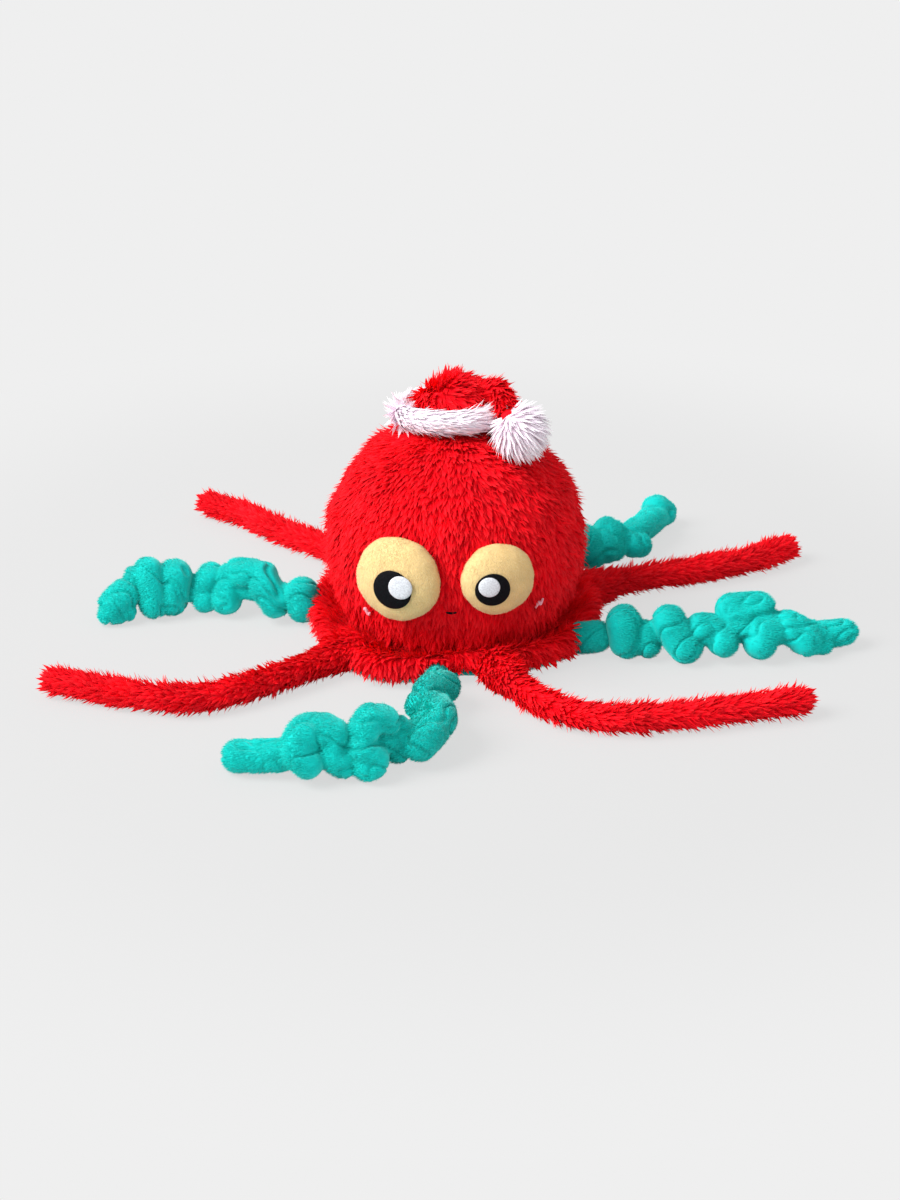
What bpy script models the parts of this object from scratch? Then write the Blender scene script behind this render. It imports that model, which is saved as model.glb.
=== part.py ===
"""Plush octopus: a round stuffed head in a puffed skirt, with four fur legs and four gathered velvet legs.

Metres, +Z up. The origin is the centre of the flat base, on the floor, and the face looks along -Y.
The head is a stuffed ball of three sewn panels. It sits in a skirt, a stuffed ring with a fur top and a
velvet base, and the legs are sewn to the skirt's rim. The fur legs are stuffed tubes that fold at the
rim and at a knee. The velvet legs are wide sleeves gathered on an elastic, so their ends pull out.
Sizes are of the pile's outer surface, because that is what a hand or a ruler meets.
"""

import math

import bmesh
import bpy
from mathutils import Matrix, Vector

MM = 0.001

# Head
HEAD_RADIUS = 75 * MM
HEAD_CENTRE_HEIGHT = 54 * MM
HEAD_SEGMENTS = 24
HEAD_RINGS = 14

# Cloth and thread
PLUSH_THICKNESS = 4 * MM
VELVET_THICKNESS = 2 * MM
THREAD_HEIGHT = 0.8 * MM
SEAM_GAP = 0.3 * MM
FOLD_GAP = 0.8 * MM
OVERRUN = 10 * MM
SQUARE_END = 2 * MM
MERGE_DISTANCE = 0.01 * MM
FLOOR_REACH_SHARE = 8
FLOOR_DIP = 0.5 * MM
SMOOTH_ANGLE = 40.0

# Skirt: its rim stands this far outside the crease where its top meets the head
SKIRT_WIDTH = 22 * MM
SKIRT_THICKNESS = 20 * MM
CREASE_HEIGHT = 12 * MM
SKIRT_STEPS = 32
RIM_STEPS = 4

# Squeaker, a blown bulb with a reed plug in its neck
SQUEAKER_RADIUS = 17 * MM
SQUEAKER_WALL = 1.2 * MM
SQUEAKER_NECK_RADIUS = 5 * MM
SQUEAKER_NECK_LENGTH = 6 * MM
REED_LENGTH = 9 * MM
REED_FLANGE_THICKNESS = 1.5 * MM
REED_HOLE_RADIUS = 1.5 * MM
SQUEAKER_STEPS = 14
SQUEAKER_ARC_STEPS = 5

# Eyes: the pad's radius, its direction from the head's centre in degrees, and how far its pupil and its
# glint lie towards +X, as shares of that radius
EYE_PAD_HEIGHT = 13 * MM
LEFT_EYE_RADIUS = 25 * MM
RIGHT_EYE_RADIUS = 21 * MM
EYES = {
    "left": (LEFT_EYE_RADIUS, (-24.5, 4.6), 0.08, 0.29),
    "right": (RIGHT_EYE_RADIUS, (17.9, 5.6), -0.31, -0.42),
}
PUPIL_RADIUS_SHARE = 0.445
GLINT_RADIUS_SHARE = 0.265
PUPIL_DROP_SHARE = 0.1
GLINT_DROP_SHARE = 0.0
EYE_SEGMENTS = 20
EYE_RINGS = 10
PATCH_SIDES = 14

# Mouth and blush marks, satin stitched
STITCH_RADIUS = 1 * MM
STITCH_RESOLUTION = 1
MOUTH_HALF_WIDTH = 2.5 * MM
MOUTH_SAG = 0.8 * MM
MOUTH_POINT_SHARES = (-1, -0.5, 0, 0.5, 1)
MOUTH_DIRECTION = (-1.7, -8.8)
BLUSH_STROKE = 3.2 * MM
BLUSH_PITCH = 2.2 * MM
BLUSH_STROKES = 3
BLUSH_DIRECTIONS = {"left_blush_mark": (-42.5, -16.0), "right_blush_mark": (38.8, -10.5)}

# Hat: the pompom presses on the head and on the trim, at an azimuth about the hat's own axis
HAT_TILT = 6.0
HAT_LEAN = 104.0
TRIM_RING_RADIUS = 28 * MM
TRIM_ROLL_RADIUS = 7.5 * MM
TRIM_PRESS_SHARE = 0.75
CROWN_RADIUS = 26 * MM
CROWN_HEIGHT = 23 * MM
CROWN_SHEAR_SHARE = 0.22
CROWN_SHEAR_AZIMUTH = -15.0
CROWN_HEM_SHARE = 0.1
POMPOM_RADIUS = 16.5 * MM
POMPOM_SINK_SHARE = 0.25
POMPOM_PRESS_SHARE = 0.947
POMPOM_AZIMUTH = -42.9
TAIL_ROOT_RADIUS = 10 * MM
TAIL_END_RADIUS = 6 * MM
TAIL_FOLD_SHARES = (0.95, -0.35, 0.45)
TAIL_SHOULDER_SHARE = 0.35
TAIL_SAG_SHARE = 0.3
TAIL_POINTS = 9
TRIM_STEPS = 22
TRIM_ROLL_STEPS = 8
CROWN_SEGMENTS = 16
CROWN_RINGS = 8

# Fur legs
FUR_LEG_RADIUS = 9.5 * MM
FUR_LEG_FLARE = 5 * MM
FLARE_FADE_SHARE = 0.7
ROOT_FOLD_LENGTH = 16 * MM
KNEE_LENGTH = 13 * MM
KNEE_SHARE = 0.52
FUR_LEG_SPACING = 14 * MM
ROUTE_STEPS = 80
DOME_STATION_SHARES = (0.55, 0.2, 0.0)
DOME_TIP_SHARE = 0.3
LEG_RESOLUTION = 3
SLEEVE_RESOLUTION = 2

# Velvet legs
SLEEVE_RADIUS = 11.2 * MM
SLEEVE_NECK_RADIUS = 7 * MM
SLEEVE_LUMP_SHARE = 0.17
SLEEVE_LUMP_PITCH = 19 * MM
SLEEVE_TWIST_RADIUS = 2.8 * MM
SLEEVE_TWIST_PITCH = 38 * MM
SLEEVE_SPACING = 4.8 * MM
SLEEVE_NECK_LENGTH = 9 * MM
ELASTIC_RADIUS = 1.5 * MM
ELASTIC_RESOLUTION = 1
ELASTIC_SPACING = 18 * MM
ELASTIC_SEAT_DEPTH = 6 * MM
TIP_SPACING = 7 * MM

# How far each leg reaches, and the radius and length of the plain end beyond each gathered sleeve
FRONT_LEFT_FUR_REACH = 181 * MM
FRONT_RIGHT_FUR_REACH = 195 * MM
BACK_RIGHT_FUR_REACH = 146 * MM
BACK_LEFT_FUR_REACH = 148 * MM
LEFT_VELVET_REACH = 118 * MM
LEFT_TIP_RADIUS = 10.5 * MM
LEFT_TIP_LENGTH = 22 * MM
FRONT_VELVET_REACH = 172 * MM
FRONT_TIP_RADIUS = 8.2 * MM
FRONT_TIP_LENGTH = 33 * MM
RIGHT_VELVET_REACH = 152 * MM
RIGHT_TIP_RADIUS = 7 * MM
RIGHT_TIP_LENGTH = 30 * MM
BACK_VELVET_REACH = 128 * MM
BACK_TIP_RADIUS = 7 * MM
BACK_TIP_LENGTH = 27 * MM

# Each leg's route as shares of its reach: outwards from the rim, then sideways, anticlockwise from above
FRONT_LEFT_FUR_SHARES = ((0.22, 0.0), (0.5, -0.05), (0.64, -0.21), (0.78, -0.46))
FRONT_RIGHT_FUR_SHARES = ((0.2, 0.04), (0.33, 0.15), (0.39, 0.35), (0.42, 0.75))
BACK_RIGHT_FUR_SHARES = ((0.2, 0.03), (0.45, 0.03), (0.7, 0.04), (0.96, 0.11))
BACK_LEFT_FUR_SHARES = ((0.25, 0.02), (0.54, 0.06), (0.75, 0.07), (0.95, 0.13))
LEFT_VELVET_SHARES = ((0.3, -0.05), (0.6, -0.09), (0.93, 0.01))
FRONT_VELVET_SHARES = ((0.33, 0.02), (0.53, -0.07), (0.61, -0.34), (0.64, -0.57))
RIGHT_VELVET_SHARES = ((0.12, 0.05), (0.35, 0.14), (0.62, 0.3), (0.87, 0.5))
BACK_VELVET_SHARES = ((0.25, -0.1), (0.45, -0.17), (0.65, -0.14), (0.91, -0.05))

# The legs, each with the azimuth where it leaves the rim, in degrees from +X
FUR_LEGS = {
    "fur_leg_front_left": (-138.0, FRONT_LEFT_FUR_REACH, FRONT_LEFT_FUR_SHARES),
    "fur_leg_front_right": (-72.0, FRONT_RIGHT_FUR_REACH, FRONT_RIGHT_FUR_SHARES),
    "fur_leg_back_right": (20.0, BACK_RIGHT_FUR_REACH, BACK_RIGHT_FUR_SHARES),
    "fur_leg_back_left": (130.0, BACK_LEFT_FUR_REACH, BACK_LEFT_FUR_SHARES),
}
VELVET_LEGS = {
    "velvet_leg_left": (176.0, LEFT_VELVET_REACH, LEFT_TIP_RADIUS, LEFT_TIP_LENGTH, LEFT_VELVET_SHARES),
    "velvet_leg_front": (-97.0, FRONT_VELVET_REACH, FRONT_TIP_RADIUS, FRONT_TIP_LENGTH, FRONT_VELVET_SHARES),
    "velvet_leg_right": (-27.0, RIGHT_VELVET_REACH, RIGHT_TIP_RADIUS, RIGHT_TIP_LENGTH, RIGHT_VELVET_SHARES),
    "velvet_leg_back": (50.0, BACK_VELVET_REACH, BACK_TIP_RADIUS, BACK_TIP_LENGTH, BACK_VELVET_SHARES),
}

head_centre = Vector((0, 0, HEAD_CENTRE_HEIGHT))
rim_roll = SKIRT_THICKNESS / 2


def head_radius_at(height):
    """How far the head's surface is from its axis at a height above the floor."""
    drop = HEAD_CENTRE_HEIGHT - height
    return math.sqrt(max(HEAD_RADIUS**2 - drop**2, 0))


crease_radius = head_radius_at(CREASE_HEIGHT)
rim_radius = crease_radius + SKIRT_WIDTH
skirt_slope = (SKIRT_THICKNESS - CREASE_HEIGHT) / (SKIRT_WIDTH - rim_roll)


def facing(azimuth, elevation):
    """A direction from the head's centre: azimuth turns from the face towards +X, elevation upwards."""
    turn, lift = math.radians(azimuth), math.radians(elevation)
    return Vector((math.sin(turn) * math.cos(lift), -math.cos(turn) * math.cos(lift), math.sin(lift)))


def polar(azimuth):
    """A level direction, in degrees from +X, anticlockwise seen from above."""
    turn = math.radians(azimuth)
    return Vector((math.cos(turn), math.sin(turn), 0))


# Scene, materials and small tools


def clear_scene():
    for old in list(bpy.data.objects):
        bpy.data.objects.remove(old, do_unlink=True)


def collection(name):
    made = bpy.data.collections.new(name)
    bpy.context.scene.collection.children.link(made)
    return made


clear_scene()
parts = collection("plush_octopus")
helpers = collection("cutters")


def material(name, colour, roughness):
    made = bpy.data.materials.new(name)
    made.use_nodes = True
    shader = made.node_tree.nodes["Principled BSDF"]
    shader.inputs["Base Color"].default_value = (*colour, 1)
    shader.inputs["Roughness"].default_value = roughness
    shader.inputs["Metallic"].default_value = 0
    made.diffuse_color = (*colour, 1)
    return made


RED_PLUSH = material("red_plush", (0.72, 0.01, 0.015), 0.9)
TURQUOISE_VELVET = material("turquoise_velvet", (0.0, 0.47, 0.42), 0.8)
YELLOW_VELBOA = material("yellow_velboa", (0.9, 0.72, 0.3), 0.85)
WHITE_FUR = material("white_fur", (0.9, 0.89, 0.93), 0.9)
BLACK_THREAD = material("black_thread", (0.01, 0.01, 0.01), 0.6)
WHITE_THREAD = material("white_thread", (0.8, 0.8, 0.86), 0.5)
PINK_THREAD = material("pink_thread", (0.85, 0.45, 0.55), 0.5)
FIBREFILL = material("fibrefill", (0.9, 0.9, 0.88), 1.0)
RUBBER = material("elastic_rubber", (0.85, 0.85, 0.82), 0.7)
POLYTHENE = material("squeaker_polythene", (0.85, 0.87, 0.85), 0.35)


def upright(out, side):
    """A turn that takes Z to the direction out and X to the direction side, square to it."""
    across = side.normalized()
    return Matrix((across, out.cross(across), out)).transposed().to_4x4()


def pivot(name, place, axis, parent):
    """An empty on a joint's axis, with its own Z along that axis."""
    empty = bpy.data.objects.new(name, None)
    parts.objects.link(empty)
    empty.matrix_world = Matrix.Translation(place) @ upright(axis, Vector((0, 0, 1)).cross(axis))
    if parent:
        attach(empty, parent)
    return empty


def attach(obj, parent):
    """Parents an object and leaves it where it is."""
    bpy.context.view_layer.update()
    obj.parent = parent
    obj.matrix_parent_inverse = parent.matrix_world.inverted()


def add_mesh(name, mesh, finish=None, parent=None, smooth=True):
    """Links a mesh as a part, or as a hidden cutter if it has no finish."""
    obj = bpy.data.objects.new(name, mesh)
    (parts if finish else helpers).objects.link(obj)
    if finish:
        mesh.materials.append(finish)
    else:
        obj.hide_render = True
        obj.display_type = "WIRE"
    if smooth:
        mesh.shade_smooth()
        mesh.set_sharp_from_angle(angle=math.radians(SMOOTH_ANGLE))
    if parent:
        attach(obj, parent)
    return obj


def mesh_of(bm, name):
    mesh = bpy.data.meshes.new(name)
    bm.to_mesh(mesh)
    bm.free()
    return mesh


def slice_off(bm, place, normal):
    """Removes what lies behind a plane and closes the cut."""
    everything = bm.verts[:] + bm.edges[:] + bm.faces[:]
    bmesh.ops.bisect_plane(bm, geom=everything, plane_co=place, plane_no=normal, clear_inner=True)
    bmesh.ops.holes_fill(bm, edges=[e for e in bm.edges if e.is_boundary])
    bmesh.ops.recalc_face_normals(bm, faces=bm.faces)


def cut(obj, cutter, operation="DIFFERENCE"):
    boolean = obj.modifiers.new(f"{operation.lower()}_{cutter.name}", "BOOLEAN")
    boolean.operation = operation
    boolean.object = cutter
    boolean.solver = "EXACT"
    return obj


def ball_mesh(name, radius, segments, rings):
    bm = bmesh.new()
    bmesh.ops.create_uvsphere(bm, u_segments=segments, v_segments=rings, radius=radius)
    return mesh_of(bm, name)


def turned(name, profile, steps, closed, finish=None, parent=None):
    """A profile in the XZ plane, outer side running down, turned about Z with a Screw modifier."""
    bm = bmesh.new()
    points = [bm.verts.new((x, 0, z)) for x, z in profile]
    for a, b in zip(points, points[1:] + points[:1] if closed else points[1:]):
        bm.edges.new((a, b))
    obj = add_mesh(name, mesh_of(bm, name), finish, parent, smooth=False)
    screw = obj.modifiers.new("turn", "SCREW")
    screw.steps = screw.render_steps = steps
    screw.use_merge_vertices = True
    screw.merge_threshold = MERGE_DISTANCE
    screw.use_smooth_shade = True
    return obj


def arc(centre, radius, start, end, steps):
    """Points (x, z) of a circular arc, angles in degrees from +X towards +Z."""
    found = []
    for i in range(steps + 1):
        angle = math.radians(start + (end - start) * i / steps)
        found.append((centre[0] + radius * math.cos(angle), centre[1] + radius * math.sin(angle)))
    return found


def tube_mesh(name, route, radii, resolution):
    """A round tube of changing radius along a route, as one closed mesh."""
    curve = bpy.data.curves.new(name, "CURVE")
    curve.dimensions = "3D"
    curve.bevel_depth = 1
    curve.bevel_resolution = resolution
    curve.use_fill_caps = True
    spline = curve.splines.new("POLY")
    spline.points.add(len(route) - 1)
    for point, place, radius in zip(spline.points, route, radii):
        point.co = (*place, 1)
        point.radius = radius
    source = bpy.data.objects.new(name, curve)
    helpers.objects.link(source)
    graph = bpy.context.evaluated_depsgraph_get()
    bm = bmesh.new()
    bm.from_mesh(bpy.data.meshes.new_from_object(source.evaluated_get(graph)))
    bmesh.ops.remove_doubles(bm, verts=bm.verts, dist=MERGE_DISTANCE)
    bmesh.ops.recalc_face_normals(bm, faces=bm.faces)
    bpy.data.objects.remove(source, do_unlink=True)
    return mesh_of(bm, name)


# Routes: a smooth curve through a few points, read off by its length


def smooth(points, steps=ROUTE_STEPS):
    """A Catmull-Rom curve through the points, as a dense polyline."""
    ends = [2 * points[0] - points[1], *points, 2 * points[-1] - points[-2]]
    found = []
    for a, b, c, d in zip(ends, ends[1:], ends[2:], ends[3:]):
        for i in range(steps):
            t = i / steps
            square = 2 * a - 5 * b + 4 * c - d
            cube = 3 * b - a - 3 * c + d
            found.append((2 * b + (c - a) * t + square * t**2 + cube * t**3) / 2)
    return [*found, points[-1]]


class Route:
    """A dense polyline that can be read at any length along it."""

    def __init__(self, points):
        self.points = points
        self.lengths = [0]
        for a, b in zip(points, points[1:]):
            self.lengths.append(self.lengths[-1] + (b - a).length)
        self.length = self.lengths[-1]

    def at(self, along):
        i = 1
        while i < len(self.points) - 1 and self.lengths[i] < along:
            i += 1
        a, b = self.points[i - 1], self.points[i]
        step = self.lengths[i] - self.lengths[i - 1]
        return a + (b - a) * ((along - self.lengths[i - 1]) / step)

    def heading(self, along, step=SEAM_GAP):
        return (self.at(along + step) - self.at(along - step)).normalized()

    def stations(self, start, end, spacing):
        """Lengths from start to end, with a short straight step at each end so that its face is square."""
        low, high = start + SQUARE_END, end - SQUARE_END
        count = max(1, round((high - low) / spacing))
        return [start, *(low + (high - low) * i / count for i in range(count + 1)), end]


def leg_route(azimuth, reach, shares, height_at):
    """A leg's centreline: it starts inside the rim, crosses it and lies along the floor.

    Its height is given by how far a point still is from the leg's end.
    """
    out, side = polar(azimuth), polar(azimuth + 90)
    start = out * (rim_radius - rim_roll)
    places = [start, start + out * rim_roll]
    places += [start + out * (rim_roll + reach * u) + side * reach * v for u, v in shares]
    flat = Route(smooth(places))
    for point, along in zip(flat.points, flat.lengths):
        point.z = height_at(flat.length - along)
    return Route(flat.points)


def domed(radius, stations, tip):
    """Radii along a leg that ends in a dome at the station called tip."""
    found = []
    for along in stations:
        inside = min(max((tip - along) / radius, 0), 1)
        found.append(radius * max(math.sqrt(1 - (1 - inside) ** 2), DOME_TIP_SHARE))
    return found


def dome_stations(route_end, start, spacing, radius):
    """Stations along a leg's last stretch, closer together over its dome."""
    low, high = start + SQUARE_END, route_end - radius
    count = max(1, round((high - low) / spacing))
    body = [low + (high - low) * i / count for i in range(count + 1)]
    dome = [route_end - radius * share for share in DOME_STATION_SHARES]
    return [start, *body, *dome]


# Cutters that the pieces share


def floor_cutter():
    bpy.ops.mesh.primitive_cube_add(size=1)
    floor = bpy.context.object
    floor.name = "floor"
    reach = FLOOR_REACH_SHARE * rim_radius
    floor.scale = (reach, reach, OVERRUN)
    floor.location = (0, 0, -OVERRUN / 2)
    bpy.ops.object.transform_apply(location=True, rotation=False, scale=True)
    for owner in list(floor.users_collection):
        owner.objects.unlink(floor)
    helpers.objects.link(floor)
    floor.hide_render = True
    floor.display_type = "WIRE"
    return floor


def head_space():
    """The room that the head takes, a seam gap larger than the head."""
    ball = add_mesh("head_space", ball_mesh("head_space", HEAD_RADIUS + SEAM_GAP, HEAD_SEGMENTS, HEAD_RINGS))
    ball.location = head_centre
    return ball


def skirt_top_line(inset, seam):
    """The top's outline, drawn in by inset: level inside the head, up over the rim and down to the seam."""
    crease = CREASE_HEIGHT - inset
    over_rim = arc((rim_radius - rim_roll, rim_roll), rim_roll - inset, 90, seam, RIM_STEPS)
    return [(crease_radius - OVERRUN, crease), (crease_radius, crease), *over_rim]


def skirt_space():
    """The room that the skirt takes, a seam gap larger than the skirt."""
    rim = arc((rim_radius - rim_roll, rim_roll), rim_roll + SEAM_GAP, 90, -90, 2 * RIM_STEPS)
    outline = [(0, SKIRT_THICKNESS), *rim, (0, -SEAM_GAP)]
    return turned("skirt_space", outline, SKIRT_STEPS, False)


# Head: three sewn panels, two wads of fibrefill and the squeaker between them


def head_panel(name, sides, parent):
    """A panel of the head's cover, between seam planes that run through its centre."""
    bm = bmesh.new()
    bmesh.ops.create_uvsphere(bm, u_segments=HEAD_SEGMENTS, v_segments=HEAD_RINGS, radius=HEAD_RADIUS)
    foot = Vector((0, 0, VELVET_THICKNESS + SEAM_GAP)) - head_centre
    planes = [(foot, Vector((0, 0, 1)))] + [(side * SEAM_GAP / 2, side) for side in sides]
    for place, normal in planes:
        everything = bm.verts[:] + bm.edges[:] + bm.faces[:]
        bmesh.ops.bisect_plane(bm, geom=everything, plane_co=place, plane_no=normal, clear_inner=True)
    lining = bmesh.ops.extrude_face_region(bm, geom=bm.faces[:], use_keep_orig=True)
    corners = [v for v in lining["geom"] if isinstance(v, bmesh.types.BMVert)]
    bmesh.ops.scale(bm, vec=Vector.Fill(3, (HEAD_RADIUS - PLUSH_THICKNESS) / HEAD_RADIUS), verts=corners)
    bmesh.ops.recalc_face_normals(bm, faces=bm.faces)
    panel = add_mesh(name, mesh_of(bm, name), RED_PLUSH, parent)
    panel.location = head_centre
    return panel


def squeaker_outline(clearance):
    """The outside of the bulb with its plug, grown by clearance, from the flange down to the pole."""
    neck = SQUEAKER_NECK_RADIUS + clearance
    bulb = SQUEAKER_RADIUS + clearance
    start = math.degrees(math.acos(neck / bulb))
    top = SQUEAKER_RADIUS + SQUEAKER_NECK_LENGTH + REED_FLANGE_THICKNESS + SEAM_GAP + clearance
    return [(0, top), (neck, top), *arc((0, 0), bulb, start, -90, SQUEAKER_ARC_STEPS)]


def make_squeaker(parent):
    """A bulb and its reed plug, lying along X at the head's centre."""
    lie = Matrix.Translation(head_centre) @ Matrix.Rotation(math.radians(90), 4, "Y")
    outer = squeaker_outline(0)[2:]
    inner_neck = SQUEAKER_NECK_RADIUS - SQUEAKER_WALL
    inner_bulb = SQUEAKER_RADIUS - SQUEAKER_WALL
    start = math.degrees(math.acos(inner_neck / inner_bulb))
    inner = arc((0, 0), inner_bulb, -90, start, SQUEAKER_ARC_STEPS)
    mouth = SQUEAKER_RADIUS + SQUEAKER_NECK_LENGTH
    rim = [(inner_neck, mouth), (SQUEAKER_NECK_RADIUS, mouth)]
    bulb = turned("squeaker_bulb", inner + rim + outer, SQUEAKER_STEPS, False, POLYTHENE)
    stem = inner_neck - SEAM_GAP
    seat = mouth + SEAM_GAP
    top = seat + REED_FLANGE_THICKNESS
    bottom = top - REED_LENGTH
    plug_outline = [
        (REED_HOLE_RADIUS, bottom),
        (REED_HOLE_RADIUS, top),
        (SQUEAKER_NECK_RADIUS, top),
        (SQUEAKER_NECK_RADIUS, seat),
        (stem, seat),
        (stem, bottom),
    ]
    plug = turned("squeaker_reed_plug", plug_outline, SQUEAKER_STEPS, True, POLYTHENE)
    pocket = turned("squeaker_pocket", squeaker_outline(SEAM_GAP), SQUEAKER_STEPS, False)
    for obj in (bulb, plug, pocket):
        obj.matrix_world = lie
    attach(bulb, parent)
    attach(plug, parent)
    return pocket


def wad(name, low, high, pocket, parent):
    """One half of the head's stuffing, between two heights, with its half of the squeaker's pocket."""
    bm = bmesh.new()
    radius = HEAD_RADIUS - PLUSH_THICKNESS - SEAM_GAP
    bmesh.ops.create_uvsphere(bm, u_segments=HEAD_SEGMENTS, v_segments=HEAD_RINGS, radius=radius)
    slice_off(bm, Vector((0, 0, low)) - head_centre, Vector((0, 0, 1)))
    if high is not None:
        slice_off(bm, Vector((0, 0, high)) - head_centre, Vector((0, 0, -1)))
    half = add_mesh(name, mesh_of(bm, name), FIBREFILL)
    half.location = head_centre
    attach(half, parent)
    return cut(half, pocket)


def make_head(parent):
    front, back = Vector((0, -1, 0)), Vector((0, 1, 0))
    left, right = Vector((-1, 0, 0)), Vector((1, 0, 0))
    head_panel("head_face_panel", [front], parent)
    head_panel("head_back_panel_left", [back, left], parent)
    head_panel("head_back_panel_right", [back, right], parent)
    pocket = make_squeaker(parent)
    split = HEAD_CENTRE_HEIGHT
    wad("head_stuffing_top", split + SEAM_GAP / 2, None, pocket, parent)
    wad("head_stuffing_bottom", VELVET_THICKNESS + SEAM_GAP, split - SEAM_GAP / 2, pocket, parent)


# Skirt: a fur top and a velvet base, sewn at the rim, with a ring of stuffing between them


def make_skirt(head_cutter, parent):
    seam = math.degrees(math.asin(SEAM_GAP / 2 / (rim_roll - PLUSH_THICKNESS)))
    centre = (rim_radius - rim_roll, rim_roll)
    over, under = skirt_top_line(0, seam), skirt_top_line(PLUSH_THICKNESS, seam)
    top = turned("skirt_top_panel", over + under[::-1], SKIRT_STEPS, True, RED_PLUSH, parent)
    cut(top, head_cutter)
    lining = arc(centre, rim_roll - VELVET_THICKNESS, -seam, -90, RIM_STEPS)
    outside = arc(centre, rim_roll, -seam, -90, RIM_STEPS)
    base_outline = [(0, VELVET_THICKNESS), *lining[::-1], *outside, (0, 0)]
    turned("skirt_base_panel", base_outline, SKIRT_STEPS, False, TURQUOISE_VELVET, parent)
    fill_top = arc(centre, rim_roll - PLUSH_THICKNESS - SEAM_GAP, 90, seam, RIM_STEPS)
    fill_bottom = arc(centre, rim_roll - VELVET_THICKNESS - SEAM_GAP, -seam, -90, RIM_STEPS)
    floor_line = VELVET_THICKNESS + SEAM_GAP
    inner_radius = fill_top[0][0] - (fill_top[0][1] - floor_line) / skirt_slope
    ring = [*fill_top, *fill_bottom, (inner_radius, floor_line)]
    stuffing = turned("skirt_stuffing", ring, SKIRT_STEPS, True, FIBREFILL, parent)
    cut(stuffing, head_cutter)


# Face: padded eyes with embroidered pupils and glints, a mouth and two blush marks


def on_head(direction):
    """A matrix at the head's surface with its own Z outwards and its own X level."""
    out = facing(*direction)
    return Matrix.Translation(head_centre + out * HEAD_RADIUS) @ upright(out, Vector((0, 0, 1)).cross(out))


def dome(name, radius, grow, place, finish=None):
    """The eye pad's full form, a flattened ball grown by a margin."""
    mesh = ball_mesh(name, 1, EYE_SEGMENTS, EYE_RINGS)
    mesh.transform(Matrix.Diagonal((radius + grow, radius + grow, EYE_PAD_HEIGHT + grow, 1)))
    obj = add_mesh(name, mesh, finish)
    obj.matrix_world = place
    return obj


def patch(name, radius, side, drop, lift, eye_radius, place, finish, parent):
    """A round patch of thread that follows the eye pad, lifted off it by a margin."""
    bm = bmesh.new()
    bmesh.ops.create_cone(
        bm, cap_ends=True, segments=PATCH_SIDES, radius1=radius, radius2=radius, depth=2 * EYE_PAD_HEIGHT
    )
    disc = add_mesh(name, mesh_of(bm, name), finish)
    disc.matrix_world = place @ Matrix.Translation((side, -drop, EYE_PAD_HEIGHT))
    attach(disc, parent)
    cut(disc, dome(name + "_outside", eye_radius, lift + THREAD_HEIGHT, place), "INTERSECT")
    return cut(disc, dome(name + "_inside", eye_radius, lift, place))


def make_eye(side_name, head_cutter, parent):
    radius, direction, pupil_side, glint_side = EYES[side_name]
    place = on_head(direction)
    pad = dome(side_name + "_eye_pad", radius, 0, place, YELLOW_VELBOA)
    attach(pad, parent)
    cut(pad, head_cutter)
    pupil = radius * PUPIL_RADIUS_SHARE
    drop = radius * PUPIL_DROP_SHARE
    name = side_name + "_pupil"
    patch(name, pupil, radius * pupil_side, drop, SEAM_GAP, radius, place, BLACK_THREAD, parent)
    name = side_name + "_glint"
    lift = 2 * SEAM_GAP + THREAD_HEIGHT
    glint = radius * GLINT_RADIUS_SHARE
    drop = radius * GLINT_DROP_SHARE
    patch(name, glint, radius * glint_side, drop, lift, radius, place, WHITE_THREAD, parent)


def stitched(name, flat_points, direction, finish, head_cutter, parent):
    """Satin stitching laid on the head along flat points, clear of the cover by a seam gap."""
    place = on_head(direction)
    route = []
    for x, y in flat_points:
        spot = place @ Vector((x, y, 0)) - head_centre
        route.append(head_centre + spot.normalized() * (HEAD_RADIUS + STITCH_RADIUS / 2))
    mesh = tube_mesh(name, route, [STITCH_RADIUS] * len(route), STITCH_RESOLUTION)
    obj = add_mesh(name, mesh, finish)
    attach(obj, parent)
    return cut(obj, head_cutter)


def make_face(head_cutter, parent):
    for side_name in EYES:
        make_eye(side_name, head_cutter, parent)
    smile = [(MOUTH_HALF_WIDTH * t, -MOUTH_SAG * (1 - t * t)) for t in MOUTH_POINT_SHARES]
    stitched("mouth_stitch", smile, MOUTH_DIRECTION, BLACK_THREAD, head_cutter, parent)
    for name, direction in BLUSH_DIRECTIONS.items():
        zigzag = []
        for i in range(BLUSH_STROKES + 1):
            across = (i - BLUSH_STROKES / 2) * BLUSH_PITCH
            zigzag.append((across, BLUSH_STROKE / 2 * (1 if i % 2 else -1)))
        stitched(name, zigzag, direction, PINK_THREAD, head_cutter, parent)


# Hat: a stuffed crown, a fur trim, and a tail that folds over with a pompom on its end

hat_up = polar(HAT_LEAN) * math.sin(math.radians(HAT_TILT)) + Vector((0, 0, math.cos(math.radians(HAT_TILT))))
hat_turn = upright(hat_up, Vector((0, 1, 0)).cross(hat_up))
trim_reach = HEAD_RADIUS + TRIM_ROLL_RADIUS * TRIM_PRESS_SHARE
trim_spread = math.asin(TRIM_RING_RADIUS / trim_reach)
hat_place = Matrix.Translation(head_centre + hat_up * trim_reach * math.cos(trim_spread)) @ hat_turn


def pompom_place():
    """Where the pompom touches both the head and the trim's roll, from the triangle of their centres."""
    reach = HEAD_RADIUS + POMPOM_RADIUS * (1 - POMPOM_SINK_SHARE)
    apart = (POMPOM_RADIUS + TRIM_ROLL_RADIUS) * POMPOM_PRESS_SHARE
    cosine = (trim_reach**2 + reach**2 - apart**2) / (2 * trim_reach * reach)
    spread = trim_spread + math.acos(cosine)
    outwards = hat_turn @ polar(POMPOM_AZIMUTH)
    return head_centre + (hat_up * math.cos(spread) + outwards * math.sin(spread)) * reach


pompom_centre = pompom_place()


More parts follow.
